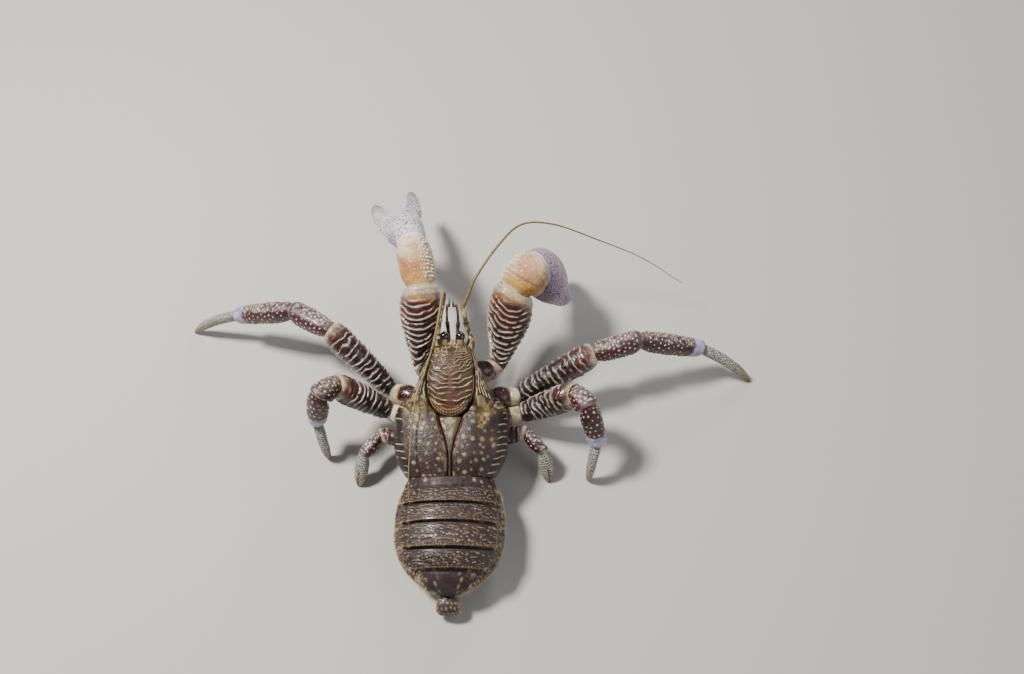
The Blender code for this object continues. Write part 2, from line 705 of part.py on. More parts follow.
def toothed(first, last, count):
    """Places along a finger as (t, height of tooth): blunt teeth with gaps between, smaller to the tip."""
    pitch = (last - first) / count
    places = []
    for i in range(count):
        height = TOOTH_HEIGHT * (1 - 0.5 * i / count)
        places += [(first + i * pitch, 0.0), (first + (i + 0.5) * pitch, height)]
    return [*places, (last, 0.0), (1.0, 0.0)]


def great_claw(side_name, thorax):
    name = f"claw_{side_name}"
    scale, palm_scale, root, start, *ways, thumb_way, opening, knob_rows = GREAT_CLAWS[side_name]
    points = [body(*root), Vector(start)]
    for way, length in ways:
        points.append(points[-1] + heading(*way) * length)
    joints = joints_of(points)
    profiles = {piece: scaled(profile, scale) for piece, profile in CLAW_PROFILES.items()}
    base = limb_piece(f"{name}_base", joints[0], joints[1], profiles["base"], SKIN, even(3))
    cut_clear(base, thorax)
    limb_piece(f"{name}_merus", joints[1], joints[2], profiles["merus"], SHELL, crests(11, 0.03, 0.8, 0.78),
               sides=14, height=0.75)
    wrist = scaled(WRIST_PROFILES[side_name], scale)
    limb_piece(f"{name}_carpus", joints[2], joints[3], wrist, CUFF, crests(5, 0.12, 0.9, 0.5),
               sides=16, stiff=1.0, crest=knobs(*knob_rows), height=1.0)

    way = heading(*ways[-1][0])
    thumb = heading(*thumb_way)
    thumb = (thumb - way * thumb.dot(way)).normalized()
    places = [(t, 0.0) for t in PALM_PLACES] + toothed(0.60, 0.95, 4)
    profile = PALM_PROFILES[side_name]
    rings = [palm_ring(profile, joints[3], way, thumb, length, palm_scale, t, tooth) for t, tooth in places]
    palm = make_object(f"{name}_palm", rings, CLAW)

    swing = math.radians(opening)
    line = way * math.cos(swing) + thumb * math.sin(swing)
    back = thumb.cross(way).normalized()
    inward = line.cross(back).normalized()
    hinge = joints[3].point + way * length * HINGE_SHARE + thumb * HINGE_OFFSET * palm_scale
    reach = length * THUMB_SHARE
    places = [(0.0, 0.0), *toothed(0.18, 0.92, 5)]
    profile = THUMB_PROFILES[side_name]
    rings = [thumb_ring(profile, hinge, line, inward, back, reach, palm_scale, t, tooth) for t, tooth in places]
    cut_clear(make_object(f"{name}_thumb", rings, CLAW), palm)
    return base


# The head: eyes on stalks, two pairs of feelers, and the outer mouthparts


EYESTALK_PROFILE = [(0, 1.9, 1.9), (0.6, 1.7, 1.7), (1, 1.9, 1.9)]
EYE_PROFILE = [(0, 2.0, 2.0), (0.35, 2.3, 2.3), (0.75, 1.7, 1.7), (0.93, 0.9, 0.9), (1, 0.4, 0.4)]
EYE_LENGTH = 4.2


def eye(side_name, side, *neighbours):
    root, tip = body(side * 3.4, 30.5, -9.8), body(side * 3.7, 37.6, -9.0)
    way = (tip - root).normalized()
    start, middle, end = Joint(root, way), Joint(tip, way), Joint(tip + way * EYE_LENGTH, way)
    stalk = limb_piece(f"eyestalk_{side_name}", start, middle, EYESTALK_PROFILE, SHELL, even(4), sides=10)
    cut_clear(stalk, *neighbours)
    limb_piece(f"eye_{side_name}", middle, end, EYE_PROFILE, EYE, even(6))


ANTENNULE = ((1.9, 31.0, -14.5), (2.0, 40.0, -15.0), (2.6, 47.5, -8.0), (2.2, 52.0, -1.0), (1.0, 51.0, 3.6),
             (0.9, 54.5, 4.4))
ANTENNULE_RADII = [(0, 1.6), (0.3, 1.3), (0.6, 1.0), (0.8, 0.8), (1, 0.35)]


def antennule(side_name, side, neighbour):
    points = [body(side * x, y, z) for x, y, z in ANTENNULE]
    cut_clear(feeler(f"antennule_{side_name}", points, ANTENNULE_RADII, SHELL, sides=8), neighbour)


STALK_ROOTS = {"left": (-6.2, 29.0, -14.5), "right": (5.6, 29.0, -14.5)}
STALKS = {
    "left": [(-7.2, 40.5, 38.8), (-6.3, 47.5, 44.4), (-4.4, 55.6, 49.4)],
    "right": [(8.6, 40.5, 37.0), (6.4, 48.0, 41.0), (4.9, 54.0, 44.5)],
}
STALK_RADII = [(0, 3.0), (0.25, 2.2), (0.4, 1.5), (0.75, 1.2), (1, 1.0)]
WHIPS = {
    "left": [(-3.9, 58.0, 51.6), (-4.6, 56.0, 52.8), (-8.0, 36.0, 47.5), (-11.6, 20.5, 46.0), (-16, 5.0, 43.0),
             (-17.8, -22.5, 37.0), (-17.0, -40.0, 38.5)],
    "right": [(6.9, 58.8, 48.4), (11.1, 66.5, 54.0), (22, 81, 60.0), (33, 92.5, 60.5), (48.7, 95, 57.0),
              (68.7, 92.8, 48.5), (93.5, 89.0, 37.0), (114.3, 82.0, 25.0)],
}
WHIP_RADII = [(0, 0.75), (0.1, 0.62), (0.6, 0.42), (0.95, 0.28), (1, 0.15)]


def antenna(side_name, *neighbours):
    """A stout jointed stalk and the long whip that grows from its end."""
    stalk = [body(*STALK_ROOTS[side_name])] + [Vector(p) for p in STALKS[side_name]]
    base = feeler(f"antenna_{side_name}_stalk", stalk, STALK_RADII, SHELL, sides=8)
    cut_clear(base, *neighbours)
    way = (stalk[-1] - stalk[-2]).normalized()
    start = stalk[-1] + way * GAP
    points = [start, start + way * 1.2] + [Vector(p) for p in WHIPS[side_name]]
    feeler(f"antenna_{side_name}_whip", points, WHIP_RADII, FEELER, steps=4, sides=5, start_normal=way)


MAXILLIPED = ((3.6, 24.0, -20.0), (4.6, 33.0, -24.5), (4.4, 38.5, -22.5), (3.2, 39.5, -28.0), (2.4, 36, -32))
MAXILLIPED_RADII = [(0, 2.4), (0.25, 2.3), (0.5, 1.9), (0.75, 1.6), (1, 0.7)]


def maxilliped(side_name, side, *neighbours):
    """An outer mouthpart, folded under the head."""
    points = [body(side * x, y, z) for x, y, z in MAXILLIPED]
    cut_clear(feeler(f"maxilliped_{side_name}", points, MAXILLIPED_RADII, SHELL, sides=8), *neighbours)


def build():
    front = carapace_front()
    thorax = belly()
    cut_clear(cardiac_plate(), front)
    for side_name, side in SIDES.items():
        cut_clear(branchial_lobe(f"branchial_{side_name}", side), front)
        eye(side_name, side, thorax, front)
        antennule(side_name, side, thorax)
        antenna(side_name, thorax, front)
        claw_base = great_claw(side_name, thorax)
        maxilliped(side_name, side, thorax, claw_base)
        walking_leg("front_leg", side_name, thorax)
        walking_leg("rear_leg", side_name, thorax)
        small_leg(side_name, thorax)
    rear = abdomen()
    for i in range(TERGITE_COUNT):
        tergite(i)
    cut_clear(tail_fan(), rear)


build()
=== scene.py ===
# %% [markdown]
# # A coconut crab, dressed from its solids
#
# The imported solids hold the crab's pose and proportions. This script gives every one of them the
# surface of the real animal: overlapping pale-edged ridges on the arms and legs, rows of white knobs,
# pitted grey toes, a carved shield on the back, soft joint skin, bristles and long ringed feelers.
# Each solid is replaced by a finer mesh that is built from the same numbers, so the outline stays.

import math

import bmesh
import bpy
import numpy as np
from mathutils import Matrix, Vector


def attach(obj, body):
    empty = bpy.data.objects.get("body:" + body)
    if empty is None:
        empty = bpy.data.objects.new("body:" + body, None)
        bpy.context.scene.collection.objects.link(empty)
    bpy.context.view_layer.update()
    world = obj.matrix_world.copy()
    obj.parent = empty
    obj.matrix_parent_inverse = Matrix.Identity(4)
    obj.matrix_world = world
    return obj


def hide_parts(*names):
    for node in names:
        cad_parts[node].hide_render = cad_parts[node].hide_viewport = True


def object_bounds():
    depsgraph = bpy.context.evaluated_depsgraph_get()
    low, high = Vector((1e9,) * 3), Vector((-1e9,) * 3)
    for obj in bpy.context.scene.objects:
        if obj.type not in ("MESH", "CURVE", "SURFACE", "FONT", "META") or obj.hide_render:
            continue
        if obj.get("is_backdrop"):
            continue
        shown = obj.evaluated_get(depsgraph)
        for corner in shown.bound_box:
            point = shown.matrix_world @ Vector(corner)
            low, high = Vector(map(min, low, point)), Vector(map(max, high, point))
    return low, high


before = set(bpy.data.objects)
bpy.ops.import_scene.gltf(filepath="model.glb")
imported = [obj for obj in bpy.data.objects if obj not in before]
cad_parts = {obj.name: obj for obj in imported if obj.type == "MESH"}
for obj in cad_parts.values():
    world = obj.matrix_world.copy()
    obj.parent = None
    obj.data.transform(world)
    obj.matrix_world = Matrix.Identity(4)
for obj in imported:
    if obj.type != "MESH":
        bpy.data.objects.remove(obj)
cad_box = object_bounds()
MM = 0.001


def placed(name, data):
    """A new object in the scene."""
    thing = bpy.data.objects.new(name, data)
    bpy.context.scene.collection.objects.link(thing)
    return thing


print("solids:", len(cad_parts), "box in mm:", [round((b - a) / MM, 1) for a, b in zip(*cad_box)])

# %% [markdown]
# ## The camera
#
# The photograph looks down on the crab from behind at about 60 degrees, with a lens of normal width.
# The camera comes first, so that every later step can be looked at from the right place.

# %% Camera at the photograph's angle
CAMERA_PLACE = (0.02238, -0.22296, 0.44985)
LOOKING_DOWN = 60

camera = placed("camera", bpy.data.cameras.new("camera"))
camera.data.lens = 35
camera.data.sensor_width = 36
camera.location = CAMERA_PLACE
camera.rotation_euler = (math.radians(90 - LOOKING_DOWN), 0, 0)
bpy.context.scene.camera = camera
print("camera at", [round(v, 3) for v in camera.location])

# %% [markdown]
# ## Floor and light
#
# A museum model stands on a plain pale surface in soft light. A wide lamp high on the left models the
# ridges, a weaker one on the right opens the shadows, and an even sky fills in the rest.

# %% Floor, lamps and sky
FLOOR_REACH = 3
FLOOR_COLOUR = (0.52, 0.505, 0.48, 1)
SKY_COLOUR = (0.8, 0.82, 0.86, 1)

floor_mesh = bpy.data.meshes.new("floor")
corners = [(x * FLOOR_REACH, y * FLOOR_REACH, 0) for x, y in ((-1, -1), (1, -1), (1, 1), (-1, 1))]
floor_mesh.from_pydata(corners, [], [(0, 1, 2, 3)])
floor = placed("floor", floor_mesh)
floor_paint = bpy.data.materials.new("pale_floor")
floor_paint.use_nodes = True
floor_sockets = floor_paint.node_tree.nodes["Principled BSDF"].inputs
floor_sockets["Base Color"].default_value = FLOOR_COLOUR
floor_sockets["Roughness"].default_value = 0.8
floor_mesh.materials.append(floor_paint)
floor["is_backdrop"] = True


def lamp(name, place, power, size, colour):
    """A square area lamp that shines at the middle of the crab."""
    light = bpy.data.lights.new(name, "AREA")
    light.energy, light.size, light.color = power, size, colour
    thing = placed(name, light)
    thing.location = place
    thing.rotation_euler = (-Vector(place)).to_track_quat("-Z", "Y").to_euler()


lamp("key", (-0.4, 0.1, 0.75), 13, 0.14, (1, 0.96, 0.9))
lamp("fill", (0.8, -0.3, 0.6), 2.6, 0.8, (0.92, 0.95, 1))
lamp("rim", (0.3, 0.75, 0.5), 2.2, 0.25, (1, 0.98, 0.95))
sky = bpy.data.worlds.new("sky")
sky.use_nodes = True
sky_sockets = sky.node_tree.nodes["Background"].inputs
sky_sockets["Color"].default_value = SKY_COLOUR
sky_sockets["Strength"].default_value = 0.26
bpy.context.scene.world = sky

# %% [markdown]
# ## Node trees and shader maths
#
# Materials, whips and bristles are all made by trees of nodes, so one small class adds a node and feeds
# its sockets. Every finish mixes several colours by masks. Writing that with nodes is long, so another
# class wraps a socket and lets masks be added and multiplied like numbers. Each sum adds one Math node.


# %% Trees of nodes, and sockets that can be written in sums
class Graph:
    """A tree of nodes that is built in code."""

    def __init__(self, tree):
        self.tree = tree

    def node(self, kind, settings=None, sockets=None):
        """Adds a node of that type. Its settings go first, then the values or links of its sockets."""
        node = self.tree.nodes.new(kind)
        for name, value in (settings or {}).items():
            setattr(node, name, value)
        for name, value in (sockets or {}).items():
            self.feed(node.inputs[name], value)
        return node

    def feed(self, socket, value):
        """Links a socket to what gives its value, or sets the value."""
        if isinstance(value, Mask):
            value = value.socket
        if isinstance(value, bpy.types.NodeSocket):
            self.tree.links.new(value, socket)
        else:
            socket.default_value = value


class Mask:
    """A number that varies over a surface, as the socket that gives it."""

    def __init__(self, finish, socket):
        self.finish, self.socket = finish, socket

    def _math(self, operation, other):
        sockets = {0: self, 1: other}
        node = self.finish.node("ShaderNodeMath", {"operation": operation}, sockets)
        return Mask(self.finish, node.outputs[0])

    def __add__(self, other):
        return self._math("ADD", other)

    def __mul__(self, other):
        return self._math("MULTIPLY", other)

    __radd__ = __add__


class Finish(Graph):
    """A material, with short ways to add nodes to it."""

    def __init__(self, name):
        self.material = bpy.data.materials.new(name)
        self.material.use_nodes = True
        super().__init__(self.material.node_tree)
        self.shader = self.tree.nodes["Principled BSDF"]
        self.place = self.node("ShaderNodeTexCoord").outputs["Object"]

    def field(self, name):
        """A mask that was worked out with the mesh and is kept on its points."""
        kept = {"attribute_type": "GEOMETRY", "attribute_name": name}
        return Mask(self, self.node("ShaderNodeAttribute", kept).outputs["Fac"])

    def speckle(self, size, low, high, detail=3.0):
        """Smooth noise with blotches of a size in millimetres, stretched from low and high to 0 and 1."""
        sockets = {"Vector": self.place, "Scale": 1000 / size, "Detail": detail}
        noise = self.node("ShaderNodeTexNoise", None, sockets)
        reach = {"Value": noise.outputs["Fac"], "From Min": low, "From Max": high}
        return Mask(self, self.node("ShaderNodeMapRange", {"clamp": True}, reach).outputs[0])

    def mix(self, mask, one, other):
        """Colour one where the mask is 0 and the other where it is 1."""
        node = self.node("ShaderNodeMix", {"data_type": "RGBA"}, {0: mask, 6: one, 7: other})
        return node.outputs[2]

    def bump(self, height, distance):
        """Fine relief from a mask, with the height of its tops in millimetres."""
        node = self.node("ShaderNodeBump", None, {"Height": height, "Distance": distance * MM})
        self.feed(self.shader.inputs["Normal"], node.outputs[0])

    def look(self, **values):
        """Sets sockets of the shader, with their names written with _ for each space."""
        for name, value in values.items():
            self.feed(self.shader.inputs[name.replace("_", " ")], value)


def paint(code):
    """The linear colour of a six-digit code of a screen colour."""
    parts = [int(code[i : i + 2], 16) / 255 for i in (0, 2, 4)]
    return (*[c / 12.92 if c <= 0.04045 else ((c + 0.055) / 1.055) ** 2.4 for c in parts], 1)


print("a pale ridge in linear light:", [round(v, 3) for v in paint("d9c9c4")])

# %% [markdown]
# ## Shell
#
# The crab's shell is dark where it is smooth and pale where it is worn: along the edges of its ridges
# and on its knobs. Those forms are in the meshes, and each mesh carries masks that say where they are:
# pale for ridge edges and knobs, and also for a painted sheen and painted highlights on a few pieces;
# dark for pits, and also for painted shade behind ridges, in grooves, between spikes and under a few
# pieces; warm for the rusty patches near the joints, cool for the blue-grey bands at the ends of the
# segments, and skin for the cream edges next to a joint.
# One recipe with other colours then serves every hard piece.


# %% One recipe for every hard piece
def shell_finish(name, codes, roughness, coat, grain):
    """The finish of a hard piece, from eight colour codes and three numbers."""
    deep, middle, pale, dark, warm, cool, skin, ochre = map(paint, codes.split())
    finish = Finish(name)
    blotch = finish.speckle(5.0, 0.34, 0.66)
    mottle = finish.speckle(1.4, 0.42, 0.66, 4.0)
    fine = finish.speckle(0.7, 0.35, 0.7, 4.0)
    colour = finish.mix(blotch, deep, middle)
    for field, over in (("cool", cool), ("warm", warm), ("ochre", ochre)):
        colour = finish.mix(finish.field(field), colour, over)
    colour = finish.mix(mottle * 0.3, colour, middle)
    colour = finish.mix(fine * 0.3, colour, dark)
    soft = finish.mix(mottle * 0.34 + fine * 0.18, skin, ochre)
    colour = finish.mix(finish.field("skin"), colour, soft)
    # The dark mask covers pits, and also painted shade behind ridges, in grooves, between spikes and under a
    # few pieces.
    colour = finish.mix(finish.field("dark"), colour, dark)
    # The pale mask covers worn ridge edges and knobs, and also a painted sheen and painted highlights on a
    # few pieces.
    paleness = finish.field("pale") * (0.74 + fine * 0.36)
    finish.look(Base_Color=finish.mix(paleness, colour, pale), Roughness=roughness + fine * 0.16 + paleness * 0.1)
    finish.look(Coat_Weight=coat, Coat_Roughness=0.16, IOR=1.5)
    pores = finish.speckle(0.45, 0.35, 0.65, 2.0)
    finish.bump(pores + fine + mottle, grain)
    return finish.material


SHELL_LOOKS = {
    # colours: deep, middle, pale, dark, warm, cool, skin and ochre; then roughness, coat and grain
    "shield": ("24140a 54391c e6d09a 100905 5a1a10 5c5358 bba878 8a5a30", 0.38, 0.2, 0.05),
    "lobe": ("1a0e0b 40291e bfae8c 0f0908 5e2614 3a2c2a a39a78 b0954c", 0.36, 0.1, 0.05),
    "wedge": ("3f3d2a 716c4a b4a87c 1c0f0c 4e1e12 5a6353 aaa380 8a6a3a", 0.42, 0.2, 0.05),
    "leg": ("150b0b 2c1916 e3cfc6 080505 4a1a10 9a9a96 d2c3a2 8a5c30", 0.3, 0.45, 0.05),
    "foot": ("28080b 491317 ecd3c8 0a0505 4a4544 aab0de c4a886 8a5a3a", 0.36, 0.22, 0.05),
    "arm": ("180a0a 38190f e6d2c4 080505 642414 b2b3b4 c8c0b2 b8863c", 0.3, 0.45, 0.05),
    "cuff": ("a0764a d8b380 f4e8ce 3c2114 a83e18 d2cabc e2d4aa c28c2c", 0.42, 0.2, 0.07),
    "left_hand": ("cfc0c8 ebe2e0 fbf8f4 2a1722 6a4218 7f62a0 ddd3c4 a8854a", 0.36, 0.3, 0.05),
    "right_hand": ("936f8c bc9eb4 f0e9ea 33202e 80581f 765488 ddd3c4 a8814a", 0.38, 0.3, 0.05),
    "toe": ("7b7868 b0aa96 e2dccb 121013 3a2412 74808f b5a67e 9a7440", 0.45, 0.2, 0.05),
    "coxa": ("180507 320c0a d9b98c 0e0504 7a2a12 8a7f86 e2d6b6 a8692c", 0.16, 1.0, 0.05),
    "back": ("1d1110 3a2622 a89274 0b0706 4f2c1a 4c444c 8f7f5c 8a5a30", 0.42, 0.18, 0.05),
    "head": ("241a0e 5a4826 cbb981 0c0805 4a2216 57524a c0ae80 8a6a34", 0.3, 0.45, 0.05),
    "feeler": ("100a08 2c2016 6e5c3c 060403 3a1c12 3a3a3c 8a7a50 6a5028", 0.3, 0.45, 0.05),
}
SHELL = {name: shell_finish(f"{name}_shell", *look) for name, look in SHELL_LOOKS.items()}
print("shell finishes:", list(SHELL))

# %% [markdown]
# ## Soft parts, eyes and feelers
#
# The abdomen and the joints are leathery skin: dull, finely wrinkled and blotched. The eyes are polished
# black, the whips and bristles are straw-coloured horn.


# %% Skins, eyes and horn
def skin_finish(name, deep, middle, pale, roughness=0.55):
    """Dull leathery skin, blotched and finely wrinkled."""
    finish = Finish(name)
    blotch = finish.speckle(3.0, 0.35, 0.65)
    fine = finish.speckle(0.6, 0.3, 0.7, 4.0)
    colour = finish.mix(blotch, paint(deep), paint(middle))
    colour = finish.mix(finish.field("pale"), colour, paint(pale))
    colour = finish.mix(finish.field("dark") * 0.8, colour, paint("150d0e"))
    finish.look(Base_Color=colour, Roughness=roughness + fine * 0.2)
    finish.look(Coat_Weight=0.12, Coat_Roughness=0.4)
    folds = finish.speckle(1.3, 0.3, 0.7, 5.0)
    finish.bump(folds + fine * 0.5, 0.15)
    return finish.material


def horn_finish(name, colour, tip, roughness=0.45):
    """Horn that is speckled with a second colour."""
    finish = Finish(name)
    fine = finish.speckle(0.7, 0.3, 0.7)
    finish.look(Base_Color=finish.mix(fine, paint(colour), paint(tip)), Roughness=roughness + fine * 0.1)
    return finish.material


JOINT_SKIN = skin_finish("joint_skin", "9c6d3a", "cdb280", "e6d6b0", 0.5)
BELLY_SKIN = skin_finish("belly_skin", "74563c", "a0845c", "cbb88f")
ABDOMEN_SKIN = skin_finish("abdomen_skin", "1f1215", "382225", "a98d76")
BRISTLE_HORN = horn_finish("bristle_horn", "b99c68", "dccaa0")
DARK_BRISTLE = horn_finish("dark_bristle", "2a1c14", "54402c")
WHIP_HORN = horn_finish("whip_horn", "54431f", "8f7742", 0.4)

eye_polish = Finish("eye_polish")
cells = eye_polish.node("ShaderNodeTexVoronoi", None, {"Vector": eye_polish.place, "Scale": 6000})
facets = Mask(eye_polish, cells.outputs["Distance"])
eye_polish.look(Base_Color=eye_polish.mix(facets, paint("0b0709"), paint("2a171d")))
eye_polish.look(Roughness=0.12, Coat_Weight=1.0, Coat_Roughness=0.04)
EYE_POLISH = eye_polish.material
print("materials so far:", len(bpy.data.materials))

# %% [markdown]
# ## The body's own axes
#
# The crab's body is tilted nose up. Its shapes are easiest to write in axes of its own: x to its right,
# y to its head and z up from its back, from the middle of the groove that crosses the carapace. These
# numbers are those of the solids, so that each fine piece lies where its solid does.


# %% Places, directions and tables
NOSE_UP = math.radians(16)
GROOVE_HEIGHT = 40.0
TO_ORIGIN = np.array((-5.8, -27.8, 0.0))
RIGHT, UP = np.array((1.0, 0.0, 0.0)), np.array((0.0, 0.0, 1.0))
GAP = 0.3
SIDES = {"left": -1, "right": 1}


def body(x, y, z):
    """Points in millimetres from the body's own axes, for numbers or whole grids of them."""
    c, s = math.cos(NOSE_UP), math.sin(NOSE_UP)
    x, y, z = np.broadcast_arrays(x, y, z)
    return np.stack([x, y * c - z * s, GROOVE_HEIGHT + y * s + z * c], axis=-1)


def heading(azimuth, elevation):
    """The direction at an azimuth from +Y towards +X and an elevation above the floor, in degrees."""
    a, e = math.radians(azimuth), math.radians(elevation)
    return np.array((math.sin(a) * math.cos(e), math.cos(a) * math.cos(e), math.sin(e)))


def unit(v):
    """Vectors of length 1 in the same directions."""
    return v / np.maximum(np.linalg.norm(v, axis=-1, keepdims=True), 1e-9)


def table(rows, t):
    """The values of a table of (t, value, ...) at every t, on a smooth curve through its rows."""
    rows = np.array(rows, float)
    t = np.clip(np.asarray(t, float), rows[0, 0], rows[-1, 0])
    knots, values = rows[:, 0], rows[:, 1:]
    steps = np.diff(knots)[:, None]
    slopes = np.diff(values, axis=0) / steps
    tangents = np.vstack([slopes[:1], 0.5 * (slopes[1:] + slopes[:-1]), slopes[-1:]])
    turning = slopes[1:] * slopes[:-1] <= 0
    tangents[1:-1][turning] = 0.0
    i = np.clip(np.searchsorted(knots, t, side="right") - 1, 0, len(knots) - 2)
    h = steps[i]
    s = ((t - knots[i]) / h[..., 0])[..., None]
    return (
        (2 * s**3 - 3 * s**2 + 1) * values[i]
        + (s**3 - 2 * s**2 + s) * h * tangents[i]
        + (3 * s**2 - 2 * s**3) * values[i + 1]
        + (s**3 - s**2) * h * tangents[i + 1]
    )


def ease(x, low, high):
    """0 below low, 1 above high and a smooth step between."""
    s = np.clip((x - low) / (high - low), 0, 1)
    return s * s * (3 - 2 * s)


def fade(x, low, high):
    """1 below low, 0 above high and a smooth step between."""
    return 1 - ease(x, low, high)


def span(x, low, high, leave, end):
    """0 below low, 1 from high to leave, and 0 again beyond the end."""
    return ease(x, low, high) * fade(x, leave, end)


def peak(x, at, width):
    """A bell-shaped bump of height 1."""
    return np.exp(-(((x - at) / width) ** 2))


def column(first, last, count):
    """Evenly spaced numbers, one to a row of a grid."""
    return np.linspace(first, last, count)[:, None]


def beside(*grids):
    """Grids with the same rows, joined side by side."""
    return np.concatenate(grids, axis=1)


def padded(fields, like, extra):
    """Masks at every point of a grid, and 0 on the extra grid that is joined to it."""
    rest = np.zeros(extra.shape[:2])
    return {name: beside(values + 0 * like, rest) for name, values in fields.items()}


def around(count):
    """The angles of a ring of points, as one row."""
    return 2 * math.pi * np.arange(count)[None, :] / count


print("the tip of the nose is at", body(0, 37.5, -5.6) + TO_ORIGIN)

# %% [markdown]
# ## Noise for meshes
#
# Ridges that wander and break, and knobs that sit unevenly in their rows, need random numbers that are
# the same at each run. They come from the whole-number cell that a point lies in, so neighbours agree.


# %% Random cells, clouds and dots
PRIMES = (374761393, 668265263, 1274126177)
LARGEST = 0x7FFFFFFF


def scatter(cell, seed):
    """A random number from 0 to 1 for each whole-number cell."""
    n = np.full(cell.shape[:-1], seed * 1013 + 7, np.int64)
    for k, prime in zip(range(cell.shape[-1]), PRIMES):
        n = (n + cell[..., k] * prime) & LARGEST
        n = ((n ^ (n >> 13)) * PRIMES[-1]) & LARGEST
    return (n ^ (n >> 16)) / LARGEST


def clouds(points, size, seed):
    """Smooth noise from 0 to 1 over points, with blotches of that size."""
    p = np.asarray(points) / size
    cell = np.floor(p).astype(np.int64)
    f = p - cell
    f = f * f * (3 - 2 * f)
    total = np.zeros(p.shape[:-1])
    for corner in np.ndindex(*(2,) * p.shape[-1]):
        weight = np.prod(np.where(np.array(corner), f, 1 - f), axis=-1)
        total += weight * scatter(cell + np.array(corner), seed)
    return total


def patches(points, size, seed, low, high):
    """Blotches of that size: 0 where the clouds are below low and 1 where they are above high."""
    return ease(clouds(points, size, seed), low, high)


def waver(points, size, seed):
    """Clouds about 0, from -0.5 to 0.5."""
    return clouds(points, size, seed) - 0.5


def dots(rows, turns, columns, seed, jitter=0.35):
    """How far each point is from the nearest dot, in cells, and that dot's own random number.

    The dots sit in staggered rows that close round a limb.
    """
    across = turns * columns
    rows, across = np.broadcast_arrays(rows, across)
    best = np.full(rows.shape, 9.0)
    label = np.zeros(rows.shape)
    for step in (-1, 0, 1):
        row = np.floor(rows).astype(np.int64) + step
        shift = 0.5 * (row % 2)
        for side in (-1, 0, 1):
            column = np.floor(across - shift).astype(np.int64) + side
            cell = np.stack([row, column % columns], axis=-1)
            lengthways = row + 0.5 + jitter * (scatter(cell, seed) - 0.5)
            sideways = column + 0.5 + shift + jitter * (scatter(cell, seed + 1) - 0.5)
            distance = np.hypot(rows - lengthways, across - sideways)
            nearer = distance < best
            best = np.where(nearer, distance, best)
            label = np.where(nearer, scatter(cell, seed + 2), label)
    return best, label


three = np.array([(0, 0, 0), (1, 0, 0), (9, 3, 2)], float)
print("clouds over three points:", clouds(three, 2.0, 1).round(2))

# %% [markdown]
# ## From grids of points to meshes
#
# Each piece is a grid: rows along it, and points round each row. The grid is closed with a cap at each
# end. Caps aren't flat. The near end of a segment is a rounded head, and the far end is a rim that rolls
# inwards to a socket, as on a real crab, so two segments meet in a lip with soft skin inside.


# %% Closed meshes from rows of points
HEAD = ((0.1, 0.985), (0.35, 0.93), (0.65, 0.8), (0.88, 0.58), (0.98, 0.3))
SOCKET = ((0.06, 0.975), (0.02, 0.93), (-0.3, 0.88), (-0.8, 0.82), (-1.2, 0.5))
TIP = ((0.35, 0.93), (0.65, 0.75), (0.9, 0.45))
FLAT = ((0.0, 0.7), (0.0, 0.35))
pieces = {}


def capped(points, fields, steps, depth, last):
    """Adds rows that close one end of a grid: each is (share of the depth outwards, share of the width)."""
    ring = points[-1] if last else points[0]
    beside = points[-2] if last else points[1]
    middle = ring.mean(0)
    outwards = unit(middle - beside.mean(0))
    extra = [middle + (ring - middle) * width + outwards * depth * out for out, width in steps]
    extra = np.array(extra if last else extra[::-1])
    pole = middle + outwards * depth * steps[-1][0]
    points = np.concatenate([points, extra] if last else [extra, points])
    grown = {}
    for name, values in fields.items():
        edge = values[-1:] if last else values[:1]
        edge = np.repeat(edge, len(steps), axis=0)
        grown[name] = np.concatenate([values, edge] if last else [edge, values])
    return points, grown, pole


